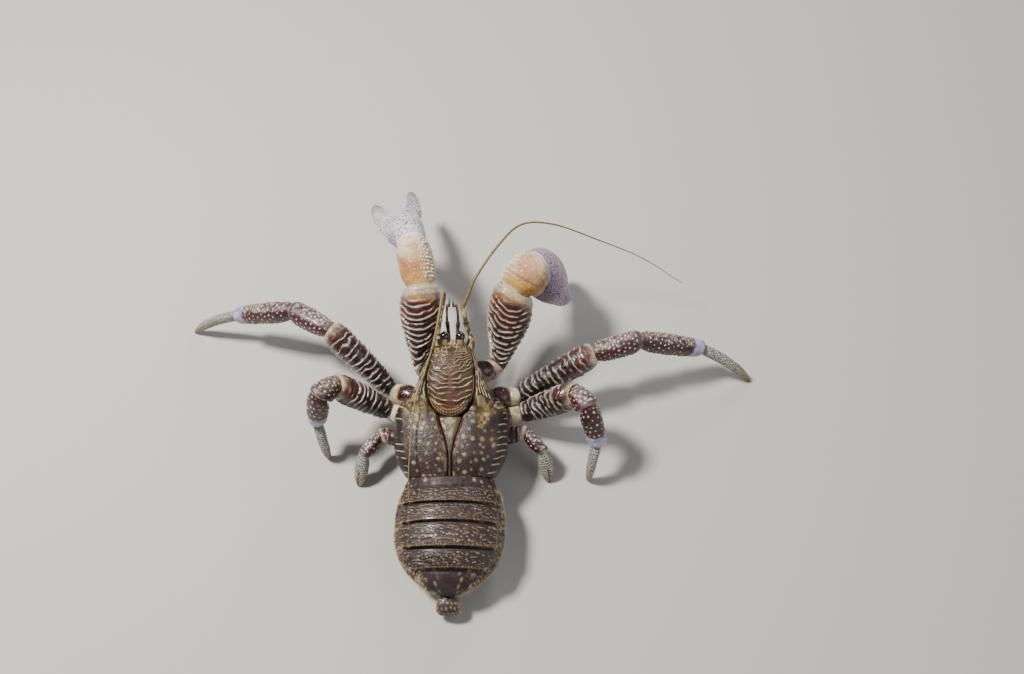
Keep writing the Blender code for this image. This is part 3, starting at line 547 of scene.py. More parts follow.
def surface(name, points, fields, material, near=FLAT, far=FLAT, near_depth=1, far_depth=1, lay=(0, 0, -1)):
    """A closed mesh through a grid of points in millimetres, with masks kept on its points."""
    fields = {k: np.broadcast_to(v, points.shape[:2]) for k, v in fields.items()}
    points, fields, first = capped(points, fields, near, near_depth, last=False)
    points, fields, final = capped(points, fields, far, far_depth, last=True)
    rows, columns = points.shape[:2]
    places = np.vstack([points.reshape(-1, 3), first, final]) + TO_ORIGIN
    grid = np.arange(rows * columns).reshape(rows, columns)
    right = np.roll(grid, -1, axis=1)
    quads = np.stack([grid[:-1], grid[1:], right[1:], right[:-1]], axis=-1).reshape(-1, 4)
    start, end = rows * columns, rows * columns + 1
    fans = np.concatenate(
        [
            np.stack([grid[0], right[0], np.full(columns, start)], axis=-1),
            np.stack([right[-1], grid[-1], np.full(columns, end)], axis=-1),
        ]
    )
    triangles = np.concatenate([quads[:, [0, 1, 2]], quads[:, [0, 2, 3]], fans])
    corners = places[triangles]
    if np.einsum("ij,ij->", corners[:, 0], np.cross(corners[:, 1], corners[:, 2])) < 0:
        quads, fans = quads[:, ::-1], fans[:, ::-1]
    mesh = bpy.data.meshes.new(name)
    mesh.vertices.add(len(places))
    mesh.vertices.foreach_set("co", (places * MM).astype(np.float32).ravel())
    mesh.loops.add(quads.size + fans.size)
    mesh.loops.foreach_set("vertex_index", np.concatenate([quads.ravel(), fans.ravel()]).astype(np.int32))
    mesh.polygons.add(len(quads) + len(fans))
    starts = np.concatenate([np.arange(len(quads)) * 4, quads.size + np.arange(len(fans)) * 3])
    mesh.polygons.foreach_set("loop_start", starts.astype(np.int32))
    mesh.update(calc_edges=True)
    mesh.validate()
    for field, values in fields.items():
        ends = [values[0].mean(), values[-1].mean()]
        layer = mesh.attributes.new(field, "FLOAT", "POINT")
        layer.data.foreach_set("value", np.concatenate([values.ravel(), ends]).astype(np.float32))
    if "tuft" in fields:
        reach = 0.12 + 0.36 * np.arange(rows)[:, None] / rows
        turn = around(columns)
        unrolled = np.stack([0.5 + reach * np.cos(turn), 0.5 + reach * np.sin(turn), 0 * reach * turn], -1)
        unrolled = np.vstack([unrolled.reshape(-1, 3), [(0.5, 0.5, 0)] * 2])
        for label, values in (("unrolled", unrolled), ("lay", np.tile(lay, (len(places), 1)))):
            layer = mesh.attributes.new(label, "FLOAT_VECTOR", "POINT")
            layer.data.foreach_set("vector", values.astype(np.float32).ravel())
    mesh.shade_smooth()
    mesh.materials.append(material)
    pieces[name] = placed(name, mesh)
    return pieces[name]


def outward(points):
    """The direction away from the inside at each point of a grid."""
    round_it = np.roll(points, -1, axis=1) - np.roll(points, 1, axis=1)
    along_it = np.gradient(points, axis=0)
    n = unit(np.cross(round_it, along_it))
    middle = points.mean(axis=1, keepdims=True)
    return n * np.sign(np.einsum("ijk,ijk->ij", n, points - middle).mean() or 1.0)


def dressed(thing, node):
    """Makes a fine piece stand for its solid."""
    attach(thing, "root")
    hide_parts(node)


print("grids are closed with", len(HEAD), "rows at a head and", len(SOCKET), "at a socket")

# %% [markdown]
# ## A segment of limb
#
# A limb is a chain of segments between joints. Each joint has a point and a direction, and the ends of
# both segments are square to that direction. Between its ends a segment's rings turn from one joint's
# direction to the other's. Its width and height come from the table of its solid.


# %% Segments swept between joints
LIMB_SQUARENESS = 2.3


def ovals(centre, across, over, angle, width, height, squareness):
    """Rows of points round rounded ovals, each in the plane of its across and over."""
    c, s = np.cos(angle), np.sin(angle)
    x = width * np.sign(c) * np.abs(c) ** (2 / squareness)
    y = height * np.sign(s) * np.abs(s) ** (2 / squareness)
    return centre[:, None] + across[:, None] * x[..., None] + over[:, None] * y[..., None]


class Segment:
    """The smooth surface of one segment, with its rows from near to far, before any ridges."""

    def __init__(self, start, end, profile, spacing, stiff=2.0):
        (p0, n0), (p1, n1) = start, end
        first, final = p0 + n0 * GAP / 2, p1 - n1 * GAP / 2
        self.length = np.linalg.norm(final - first)
        axis = unit(final - first)
        girth = 2 * math.pi * max(0.5 * (w + h) for _, w, h in profile)
        size = self.grid(int(self.length / spacing[0]) + 2, int(girth / spacing[1]) // 2 * 2, profile)
        t = self.t
        normal = unit(axis + (n0 - axis) * (1 - t) ** stiff + (n1 - axis) * t**stiff)
        over = unit(UP - axis * (UP @ axis))
        across = unit(np.cross(normal, over))
        over = np.cross(across, normal)
        centre = first + (final - first) * t
        width, height = size[:, :1], size[:, 1:]
        self.points = ovals(centre, across, over, self.angle, width, height, LIMB_SQUARENESS)
        self.out = outward(self.points)
        self.girth = girth
        self.way = axis

    def grid(self, rows, columns, profile):
        """Sets the shares along and the turns round, and gives the width and height of each row."""
        self.t = column(0, 1, rows)
        self.turn = np.arange(columns)[None, :] / columns
        self.angle = self.turn * 2 * math.pi
        return table(profile, self.t[:, 0])

    def raised(self, height):
        """The surface with a height in millimetres added square to it."""
        return self.points + self.out * np.broadcast_to(height, self.points.shape[:2])[..., None]


def ridges(segment, pitch, seed, first, last, height, bow, hooks, breaks):
    """Overlapping ridges across a segment: their height, their thin pale edges and the shade behind each.

    Bow bends them back along the top, hooks makes them wander, and breaks is how much of them is missing.
    """
    along = segment.t * segment.length
    points = segment.points
    bend = bow * np.sin(segment.angle) * np.abs(np.sin(segment.angle))
    bend = bend + 0.8 * waver(points, 7.0, seed) + hooks * waver(points, 2.6, seed + 1)
    phase = (along - first * segment.length) / pitch + bend
    ridge = np.floor(phase)
    f = phase - ridge
    climb = np.where(f < 0.8, ease(f, 0.0, 0.8), fade(f, 0.8, 0.97))
    spread = segment.girth / (2 * math.pi)
    round_it = [wave(segment.angle) * spread + 0 * f for wave in (np.cos, np.sin)]
    where = np.stack([*round_it, ridge * 7.3], -1)
    strength = patches(where, 2.8, seed + 5, breaks - 0.1, breaks + 0.08)
    window = span(segment.t, first - 0.02, first + 0.04, last - 0.05, last + 0.01)
    top = 0.8 + 0.2 * np.sin(segment.angle)
    number = scatter(ridge.astype(int)[..., None], seed)
    teeth = 0.5 + 0.5 * np.cos(segment.angle * round(segment.girth / 0.95) + 40 * number)
    edge = peak(f, 0.82, 0.055) * strength * window
    halo = peak(f, 0.8, 0.17) * strength * window
    shade = (ease(f, 0.9, 0.96) + fade(f, 0.02, 0.22)) * strength * window
    stand = height * climb * (0.3 + 0.7 * strength) * window * top + 0.14 * edge * teeth
    bright = 0.4 + 0.6 * patches(where, 1.3, seed + 6, 0.25, 0.65)
    return stand, np.clip(edge * (0.66 + 0.34 * teeth) * bright + 0.09 * halo, 0, 1), 0.8 * shade


def knobs(segment, pitch, size, height, seed, where=1.0, chance=1.0, stretch=1.0, point=1.5):
    """Rounded knobs in rows: their height, and a mask of their tops.

    Stretch draws them out round the limb, and a low point makes them sharp.
    """
    columns = max(4, round(segment.girth / (pitch * stretch)))
    distance, label = dots(segment.t * segment.length / pitch, segment.turn, columns, seed)
    there = (label < chance) * where
    reach = size / pitch * (0.7 + 0.6 * label)
    stand = np.clip(1 - (distance / reach) ** 2, 0, None) ** point
    return height * stand * there, ease(stand, 0.15, 0.6) * there


def facing(angle, at, width):
    """1 where a limb faces the angle at, in radians, and 0 well to the side of it."""
    off = np.remainder(angle - at + math.pi, 2 * math.pi) - math.pi
    return peak(off, 0, width)


print("a 3 mm ridge leaves its edge at 78% of its pitch")

# %% [markdown]
# ## Walking legs
#
# A leg has a thick upper segment with ridges, a short one and a longer one with rows of white knobs, and
# a curved grey toe with dark pits. The joints are placed with the same lengths and angles as the solids.
# Its segments are long tubes that carry a pattern, so each is a grid in code with its relief added to it.


# %% Where the joints of the legs are
LEG_PROFILES = {
    "base": [(0, 4.4, 4.8), (0.5, 4.6, 5.2), (1, 3.6, 4.0)],
    "merus": [(0, 3.5, 4.2), (0.12, 4.3, 5.1), (0.6, 5.7, 6.4), (0.85, 6, 6.6), (0.95, 5.7, 6.1),
              (1, 4.6, 5)],
    "carpus": [(0, 3.7, 4.0), (0.2, 4.8, 5.1), (0.75, 5.4, 5.6), (0.92, 5.1, 5.3), (1, 4.3, 4.5)],
    "propodus": [(0, 3.6, 3.9), (0.15, 4.7, 4.9), (0.6, 4.8, 5), (0.82, 4.5, 4.7), (0.97, 4.2, 4.4),
                 (1, 3.9, 4)],
    "dactyl": [(0, 2.4, 2.7), (0.25, 2.5, 2.7), (0.6, 2.0, 2.2), (0.85, 1.3, 1.5), (1, 0.75, 0.8)],
}
WALKING_LEGS = {
    # scale, lengths of the four pieces, root in the body's axes, start of the merus, azimuth and elevation
    # of the next pieces, and azimuth of the dactyl
    ("front_leg", "left"): (1.0, (42.0, 23.0, 35.0, 35.0), (-14, 11, -21), (-29.0, 23.0, 19.0),
                            ((-52, 26), (-58, -4), (-78, -25)), -85),
    ("front_leg", "right"): (1.0, (42.0, 23.0, 35.0, 35.0), (14, 11, -21), (31.0, 20.7, 19.0),
                             ((67, 20), (73, 2), (84, -23)), 105),
    ("rear_leg", "left"): (0.98, (33.5, 12.0, 21.5, 26.0), (-14, 0, -21), (-30.5, 14.0, 15.5),
                           ((-85, 46), (-145, 30), (-125, -78)), 165),
    ("rear_leg", "right"): (0.98, (33.5, 12.0, 21.5, 26.0), (14, 0, -21), (32.5, 12.8, 15.5),
                            ((91, 41), (152, 28), (150, -61)), -162),
}
joint_skins = []


def joints_of(points):
    """A joint at each point of a chain, as its point and direction."""
    ways = [unit(b - a) for a, b in zip(points, points[1:])]
    between = [unit(a + b) for a, b in zip(ways, ways[1:])]
    return list(zip(points, [ways[0], *between, ways[-1]]))


def foot_way(ankle, length, azimuth):
    """The direction of a last piece that ends on the floor."""
    return heading(azimuth, -math.degrees(math.asin(ankle[2] / length)))


def scaled(profile, scale):
    """A profile with its widths and heights scaled."""
    return [(t, w * scale, h * scale) for t, w, h in profile]


def joint_between(joint, radius):
    """Notes where soft joint skin is wanted, to be built in a later cell."""
    joint_skins.append((*joint, radius))


def hip(name, joints, profile):
    """The hip: a glossy dark dome with an orange edge, set in cream skin, and a small plate beyond it."""
    part = Segment(joints[0], joints[1], profile, (0.25, 0.3))
    radius = part.girth / (2 * math.pi)
    along = (part.t - 0.52) * part.length
    sideways = (np.remainder(part.angle + math.pi / 2, 2 * math.pi) - math.pi) * radius
    wobble = 0.25 * waver(part.points, 2.5, 9)
    off = np.hypot(along / 4.5, sideways / 6.8) + wobble
    dome = fade(off, 0.9, 1.0)
    orange = span(off, 0.72, 0.92, 1.06, 1.2) * ease(along, -0.5, 1.5)
    plate = ease(along + 0.25 * np.abs(sideways), 4.7, 5.2)
    creases = np.sin((part.t * part.length + 0.5 * clouds(part.points, 2.0, 10)) * 2 * math.pi / 1.1)
    stand = 1.15 * np.sqrt(np.clip(1 - off**2, 0, 1)) + 0.4 * plate
    stand = stand + 0.1 * creases * (1 - dome) * (1 - plate)
    brown = patches(part.points, 3.0, 11, 0.45, 0.7) * (1 - dome)
    fields = {
        "skin": (1 - dome) * (1 - 0.45 * brown) * (0.72 + 0.28 * plate),
        "warm": 0.55 * dome * ease(off, 0.45, 0.85),
        "ochre": np.clip(orange, 0, 1) * dome,
        "dark": 0.5 * peak(off, 1.06, 0.06) + 0.35 * ease(creases, 0.6, 1.0) * (1 - dome) * (1 - plate),
        "pale": 0.0,
    }
    return surface(name, part.raised(stand), fields, SHELL["coxa"], HEAD, SOCKET, 1.0, 1.0)


# %% Upper, middle and lower segments
def far_end(part, last, rusty):
    """Masks towards the far end of an upper segment, as it turns rusty, ochre, grey and at last cream."""
    t = part.t + 0.1 * waver(part.points, 4.0, 3)
    sides = np.abs(np.cos(part.angle)) ** 1.5
    patchy = patches(part.points, 4.0, 4, 0.3, 0.62)
    warm = span(t, last - 0.46, last - 0.08, last + 0.01, last + 0.08) * (0.25 + 0.75 * patchy)
    ochre = span(t, last - 0.05, last + 0.03, last + 0.1, last + 0.17)
    ochre = ochre * facing(part.angle, math.pi / 2 - 0.2, 0.95) * rusty * (0.45 + 0.55 * patchy)
    grey = ease(t, last - 0.05, last + 0.05) * (0.4 + 0.6 * sides) * (0.6 + 0.4 * patchy)
    rim = ease(part.t + 0.014 * waver(part.points, 1.5, 5), 0.985, 0.993)
    blond = 0.62 * ease(t, last + 0.015, last + 0.075)
    blond = blond * (0.45 + 0.55 * patches(part.points, 2.2, 6, 0.25, 0.6))
    return np.clip(warm, 0, 1), ochre, grey * (1 - rim), np.maximum(rim, blond)


LEG_RIDGES = {"pitch": 3.1, "height": 0.8, "last": 0.91, "bow": 0.5, "hooks": 0.6, "breaks": 0.4}


def merus(name, start, end, profile, seed, finish, rusty=0.35, **changes):
    """A thick upper segment, with the ridges of a leg apart from the changes given."""
    part = Segment(start, end, profile, (0.205, 0.31))
    form = {**LEG_RIDGES, **changes}
    last = form["last"]
    stand, pale, shade = ridges(part, seed=seed, first=0.04, **form)
    warm, ochre, cool, rim = far_end(part, last, rusty)
    lip = 0.16 * peak(part.t, 0.975, 0.014)
    waist = -0.1 * peak(part.t - last, 0.03, 0.014)
    swell = 0.25 * waver(part.points, 5.0, seed + 9)
    knuckle = facing(part.angle, 0.15, 0.35) + facing(part.angle, math.pi - 0.15, 0.35)
    knuckle = knuckle * ease(part.t, last, last + 0.05)
    fields = {
        "pale": pale,
        "cool": cool,
        "warm": warm,
        "ochre": ochre,
        "skin": np.clip(np.maximum(0.85 * rim, fade(part.t, 0.0, 0.02)) + 0.5 * knuckle, 0, 1),
        "dark": shade,
        "tuft": ease(pale, 0.25, 0.7),
    }
    stand = stand + lip + waist + swell + 0.5 * knuckle
    return surface(name, part.raised(stand), fields, finish, HEAD, SOCKET, 1.6, 1.5, part.way)


def knobbed(name, start, end, profile, seed, band=None):
    """A middle or lower segment: maroon, with pink dots behind and short white bars in front and above.

    A lower segment has a blue-grey band round it from that share of its length. Fine pale granules and
    a painted sheen lighten the upper side of both.
    """
    part = Segment(start, end, profile, (0.24, 0.29))
    last = band or 0.92
    window = span(part.t, 0.04, 0.09, last - 0.05, last)
    above = ease(part.out @ np.array((0, 0.87, 0.5)) + 0.6 * waver(part.points, 4.0, seed), -0.1, 0.4)
    bars, bar_tops = knobs(part, 1.6, 0.42, 0.34, seed, window * above, 0.92, 1.7)
    beads, bead_tops = knobs(part, 2.5, 0.58, 0.4, seed + 1, window * (1 - above), 0.92)
    # A painted sheen: soft pale streaks over the upper side, as light glancing off it.
    painted_sheen = patches(part.points * np.array((0.35, 1, 1)), 0.8, seed + 7, 0.35, 0.75)
    painted_sheen = painted_sheen * ease(above, 0.4, 1.0) * window
    # Fine granules with pale tops, most of them on the upper side, where they help paint the sheen.
    grain_and_sheen, grain_and_sheen_tops = knobs(part, 0.9, 0.3, 0.05, seed + 2, window * (0.3 + 0.7 * above), 0.55)
    ragged = part.t + 0.035 * waver(part.points, 1.8, seed + 6)
    cool = ease(ragged, last - 0.035, last + 0.03) if band else 0.18 * ease(ragged, 0.86, 0.96)
    rim = ease(ragged, 0.985, 0.995)
    step = -0.14 * peak(part.t, last, 0.012) if band else 0.0
    crest = 0.4 * waver(part.points, 4.0, seed + 3)
    paleness = 0.45 * cool * patches(part.points, 2.6, seed + 9, 0.4, 0.65) * bool(band)
    tops = np.clip(0.95 * bar_tops + 0.82 * bead_tops + 0.5 * grain_and_sheen_tops + 0.26 * painted_sheen, 0, 1)
    fields = {
        "pale": paleness + tops,
        "cool": cool * (1 - 0.7 * rim) * (0.72 + 0.28 * patches(part.points, 2.2, seed + 8, 0.3, 0.6)),
        "warm": np.clip(0.9 * above * (0.4 + 0.6 * clouds(part.points, 3.0, seed + 4)), 0, 1) * (1 - cool),
        "skin": np.maximum(rim * (0.25 if band else 0.7), 0.45 * fade(ragged, 0.0, 0.025)),
        "dark": 0.55 * patches(part.points, 1.6, seed + 5, 0.55, 0.75) * window * (1 - bar_tops),
        "tuft": bar_tops * (1 - bar_tops) * 4,
    }
    stand = bars + beads + grain_and_sheen + step + crest * window
    return surface(name, part.raised(stand), fields, SHELL["foot"], HEAD, SOCKET, 1.4, 1.2, part.way)


class Toe(Segment):
    """The curved last segment, whose rings turn to lie flat on the floor at its tip."""

    def __init__(self, ankle, tip, profile, bow, spacing=(0.19, 0.22)):
        point, normal = ankle
        path = unit(tip - point)
        self.way = path
        outwards = unit(UP - path * (UP @ path))
        first = point + normal * GAP / 2
        self.length = np.linalg.norm(tip - first)
        self.girth = 2 * math.pi * profile[1][1]
        size = self.grid(int(self.length / spacing[0]) + 2, int(self.girth / spacing[1]), profile)
        t = self.t
        lean = outwards * 0.6 * t * (1 - 2 * t)
        turned = unit(path + (normal - path) * (1 - t) ** 4 + (-UP - path) * t**6 + lean)
        centre = first + (tip - first) * t + outwards * bow * 4 * t * (1 - t)
        across = unit(np.cross(turned, outwards))
        over = np.cross(across, turned)
        width, height = size[:, :1], size[:, 1:]
        self.points = ovals(centre, across, over, self.angle, width, height, LIMB_SQUARENESS)
        self.points[-1, :, 2] = 0.0
        self.out = outward(self.points)


TOE_PITS = 1.25


def toe(name, ankle, tip, profile, seed, bow=2.8, split=False):
    """A blue-grey toe with rows of dark pits and a tan tip. With a slit it looks like a pincer."""
    part = Toe(ankle, tip, profile, bow)
    columns = max(6, round(part.girth / TOE_PITS))
    distance, label = dots(part.t * part.length / TOE_PITS, part.turn, columns, seed, 0.3)
    window = span(part.t, 0.04, 0.08, 0.9, 0.97)
    pit = ease(0.33 - distance, 0.0, 0.1) * window * (label > 0.08)
    horn = ease(part.t + 0.06 * waver(part.points, 2.0, seed), 0.8, 0.93)
    keel = 0.22 * np.cos(3 * part.angle) * (1 - part.t) + 0.15 * waver(part.points, 2.5, seed + 1)
    above_tip = fade(part.t, 0.93, 0.985)
    over = np.sin(part.angle)
    under = facing(part.angle, -math.pi / 2, 0.5)
    # The slit is a shallow groove painted dark, as the shade in the gap between the pincer's fingers.
    slit = facing(part.angle, math.pi / 2, 0.12) * ease(part.t, 0.42, 0.5) if split else 0.0
    cloudy = 0.4 + 0.6 * clouds(part.points, 3.0, seed + 2)
    paler = 0.55 - 0.25 * ease(part.t, 0.5, 0.9)
    tan = ease(part.t + 0.15 * waver(part.points, 2.5, seed + 3), 0.45, 0.9)
    fields = {
        "dark": np.clip(0.92 * pit + 0.6 * under * (1 - horn) + 0.9 * slit, 0, 1),
        "warm": horn,
        "cool": (0.25 + 0.6 * fade(part.t, 0.25, 0.7)) * ease(over, -0.5, 0.7) * cloudy,
        "ochre": 0.75 * tan * (1 - 0.5 * horn),
        "pale": paler * ease(distance, 0.38, 0.55) * window * ease(over, -0.3, 0.6),
        "skin": fade(part.t, 0.0, 0.03),
        "tuft": 0.8 * pit * (label > 0.4),
    }
    blunt = 0.35 * ease(part.t, 0.35, 0.7)
    stand = (keel + blunt - 0.1 * pit - 0.6 * slit) * above_tip
    return surface(name, part.raised(stand), fields, SHELL["toe"], HEAD, FLAT, 1.0, 0.0, part.way)


BAND_LENGTH = 6.0


def walking_leg(leg, side_name, seed):
    """The five pieces of a walking leg, from its hip to its toe."""
    name = f"{leg}_{side_name}"
    scale, lengths, root, start, ways, dactyl_azimuth = WALKING_LEGS[leg, side_name]
    profiles = {piece: scaled(profile, scale) for piece, profile in LEG_PROFILES.items()}
    points = [body(*root), np.array(start)]
    for length, way in zip(lengths, ways):
        points.append(points[-1] + heading(*way) * length)
    points.append(points[-1] + foot_way(points[-1], lengths[-1], dactyl_azimuth) * lengths[-1])
    hip_joint, thigh, knee, shin, ankle = joints_of(points)[:5]
    dressed(hip(f"{name}_hip", (hip_joint, thigh), profiles["base"]), f"{name}_base")
    upper = merus(f"{name}_upper", thigh, knee, profiles["merus"], seed, SHELL["leg"])
    dressed(upper, f"{name}_merus")
    middle = knobbed(f"{name}_middle", knee, shin, profiles["carpus"], seed + 1)
    dressed(middle, f"{name}_carpus")
    band = 1 - BAND_LENGTH / lengths[2]
    lower = knobbed(f"{name}_lower", shin, ankle, profiles["propodus"], seed + 2, band)
    dressed(lower, f"{name}_propodus")
    foot = toe(f"{name}_toe", ankle, points[-1], profiles["dactyl"], seed + 3)
    dressed(foot, f"{name}_dactyl")
    for joint, radius in zip((thigh, knee, shin, ankle), (3.4, 4.0, 3.9, 2.6)):
        joint_between(joint, radius * scale)


for seed, (leg, side_name) in enumerate(WALKING_LEGS):
    walking_leg(leg, side_name, 10 * seed + 11)
print("walking legs:", sum(len(o.data.polygons) for o in pieces.values()), "faces in", len(pieces), "pieces")

# %% [markdown]
# ## The small legs behind them
#
# The fourth pair is slender and ends in a little pincer. Little of it can be seen in the photograph,
# so its form and its rows of small knobs follow the species.

# %% Small pincer legs
SMALL_LEG_PROFILES = {
    "merus": [(0, 3.2, 3.6), (0.4, 3.4, 4.0), (0.85, 3.7, 4.2), (1, 3.0, 3.4)],
    "carpus": [(0, 2.6, 3.0), (0.5, 3.3, 3.6), (1, 2.8, 3.0)],
    "claw": [(0, 2.3, 2.6), (0.3, 3.3, 3.0), (0.6, 2.9, 2.5), (0.85, 1.8, 1.7), (1, 0.9, 0.9)],
}
SMALL_LEGS = {
    # root in the body's axes, knee, azimuth and elevation of the carpus, azimuth of the claw
    "left": ((-13, -9, -20), (-34.0, 0.5, 17.0), (-140, -8), -160),
    "right": ((13, -9, -20), (34.5, 2.0, 17.0), (136, -8), 160),
}
SMALL_LEG_CARPUS, SMALL_LEG_CLAW = 12.0, 18.0
SMALL_LEG_RIDGES = {"pitch": 2.6, "height": 0.45, "last": 0.88}


def small_leg(side_name, seed):
    """The three pieces of a small leg."""
    name = f"small_leg_{side_name}"
    root, knee, carpus_way, claw_azimuth = SMALL_LEGS[side_name]
    points = [body(*root), np.array(knee)]
    points.append(points[-1] + heading(*carpus_way) * SMALL_LEG_CARPUS)
    points.append(points[-1] + foot_way(points[-1], SMALL_LEG_CLAW, claw_azimuth) * SMALL_LEG_CLAW)
    thigh, knee, ankle = joints_of(points)[:3]
    profiles = SMALL_LEG_PROFILES
    upper = merus(f"{name}_upper", thigh, knee, profiles["merus"], seed, SHELL["leg"], **SMALL_LEG_RIDGES)
    dressed(upper, f"{name}_merus")
    middle = knobbed(f"{name}_middle", knee, ankle, profiles["carpus"], seed + 1)
    dressed(middle, f"{name}_carpus")
    pincer = toe(f"{name}_pincer", ankle, points[3], profiles["claw"], seed + 2, 0.5, split=True)
    dressed(pincer, f"{name}_claw")
    for joint, radius in zip((knee, ankle), (2.7, 2.4)):
        joint_between(joint, radius)


for side_name, seed in (("left", 61), ("right", 71)):
    small_leg(side_name, seed)
print("small legs:", [n for n in pieces if n.startswith("small")])

# %% [markdown]
# ## The great claws
#
# The arm has the boldest ridges of the whole crab. The wrist is ochre with cream knobs along its inner
# edge, and the hand is pale lilac with hundreds of tiny dark bristle pits and blunt teeth between its
# fingers. The left claw is the larger in this species. The hand's middle line moves sideways where it
# narrows into the fixed finger, so its rings are placed by a table rather than by joints alone.

# %% The numbers of the claws
CLAW_PROFILES = {
    "base": [(0, 5.0, 5.6), (0.5, 4.8, 5.4), (1, 3.7, 4.3)],
    "merus": [(0, 3.6, 4.2), (0.15, 4.6, 5.2), (0.4, 7.4, 7.2), (0.7, 9.5, 8.8), (0.9, 9.5, 8.8),
              (1, 8, 7.6)],
}
WRIST_PROFILES = {
    "left": [(0, 6.2, 6.2), (0.2, 7.5, 7.8), (0.55, 8.0, 8.6), (0.85, 7.8, 8.2), (1, 6.9, 7.1)],
    "right": [(0, 6.4, 6.2), (0.2, 8.4, 8.2), (0.55, 9.3, 9.2), (0.85, 9.0, 8.8), (1, 7.6, 7.6)],
}
PALM_PROFILES = {
    # share of the length, how far the middle lies towards the thumb, half width, half height
    "left": [(0.0, 0.0, 6.4, 6.0), (0.07, 0.6, 7.8, 7.4), (0.22, 1.2, 9.2, 8.4), (0.36, 1.2, 9.9, 7.8),
             (0.46, 0.2, 9.4, 6.4), (0.51, -2.6, 7.0, 5.5), (0.56, -5.4, 4.6, 4.9), (0.75, -6.4, 3.8, 4.1),
             (0.9, -6.1, 2.8, 3.0), (0.98, -5.4, 1.7, 1.9), (1.0, -5.1, 0.9, 1.0)],
    "right": [(0.0, 0.0, 6.6, 6.2), (0.07, 0.0, 9.0, 8.0), (0.25, 0.0, 11.6, 9.4), (0.4, 0.0, 12.0, 9.0),
              (0.47, -0.6, 11.0, 8.0), (0.52, -3.0, 8.2, 6.8), (0.57, -5.8, 5.4, 5.8), (0.75, -6.0, 4.6, 4.8),
              (0.9, -5.2, 3.2, 3.4), (0.98, -4.4, 2.0, 2.2), (1.0, -4.0, 1.0, 1.1)],
}
THUMB_PROFILES = {
    "left": [(0, 5.2, 5.2), (0.2, 4.7, 4.8), (0.55, 3.4, 3.9), (0.85, 2.4, 2.7), (0.96, 1.6, 1.8),
             (1, 0.9, 0.9)],
    "right": [(0, 5.4, 6.0), (0.2, 5.2, 5.8), (0.55, 4.4, 4.7), (0.85, 3, 3.2), (0.96, 1.9, 2), (1, 1, 1)],
}
WRIST_SHARE, HINGE_SHARE, HINGE_OFFSET = 0.35, 0.44, 6.2
THUMB_SHARE, THUMB_BOW, TOOTH_HEIGHT = 0.575, 1.6, 1.5
ARM_RIDGES = {"pitch": 2.9, "height": 0.95, "last": 0.86, "bow": 2.1, "hooks": 0.35, "breaks": 0.3}
GREAT_CLAWS = {
    # scale of the arm and of the palm, root in the body's axes, start of the merus, way and length of merus,
    # carpus and palm, way to the thumb across the palm, how far the thumb opens in degrees, and where round
    # the carpus its rows of knobs run
    "left": (1.0, 0.95, (-8, 22, -19), (-15.6, 34.0, 24.0), ((0, 42), 39.0), ((-13, 16), 21.6),
             ((-22, -30), 60.0), (80, 12), 15.0, (0, 45)),
    "right": (1.07, 1.1, (8, 22, -19), (20.8, 34.2, 24.0), ((18, 42), 39.0), ((50, 26), 13.5),
              ((42, -62), 50.0), (-19, 13), 9.0, (135, 180)),
}
CLAW_LOOKS = {
    # where the wrist's fold, its rusty blush and the end of its yellow lie, as shares of its length, how
    # deep the fold and how strong the cream is, and the size of the hand's pits
    "left": {"fold_at": 0.86, "blush_at": 0.36, "yellow_to": 0.34, "fold": 0.4, "cream": 1.0, "pits": 0.28},
    "right": {"fold_at": 0.38, "blush_at": 0.6, "yellow_to": 0.42, "fold": 1.0, "cream": 0.4, "pits": 0.21},
}


# %% Wrist, hand and thumb
SCALE_PITCH, PIT_PITCH, TEETH = 1.5, 2.5, 5
PALM_COLUMNS, FINGER_COLUMNS, HAND_SQUARENESS = 230, 130, 2.2


def oval_rows(centres, normals, backs, widths, heights, columns, squareness):
    """Rows of ovals, each square to its normal, and the angle of each point."""
    angle = around(columns)
    across = unit(np.cross(normals, backs))
    over = np.cross(across, normals)
    return ovals(centres, across, over, angle, widths, heights, squareness), angle


class Hand(Segment):
    """A grid with the fields that knobs() and dots() need, for rows that come from a table."""

    def __init__(self, points, angle, t, length):
        self.points, self.angle, self.t, self.length = points, angle, t, length
        self.turn = angle / (2 * math.pi)
        steps = np.linalg.norm(np.roll(points, -1, axis=1) - points, axis=-1)
        self.girth = steps.sum(axis=1).max()
        self.out = outward(points)


def teeth(t, angle, at, first, last, height):
    """Blunt teeth along a finger, at an angle round it, smaller to the tip."""
    place = (t - first) / (last - first) * TEETH
    inside = span(place, 0.0, 0.15, TEETH - 0.15, TEETH)
    tooth = np.abs(np.sin(math.pi * place)) ** 0.7 * (1 - 0.5 * np.clip(place / TEETH, 0, 1))
    return height * tooth * inside * facing(angle, at, 0.42)


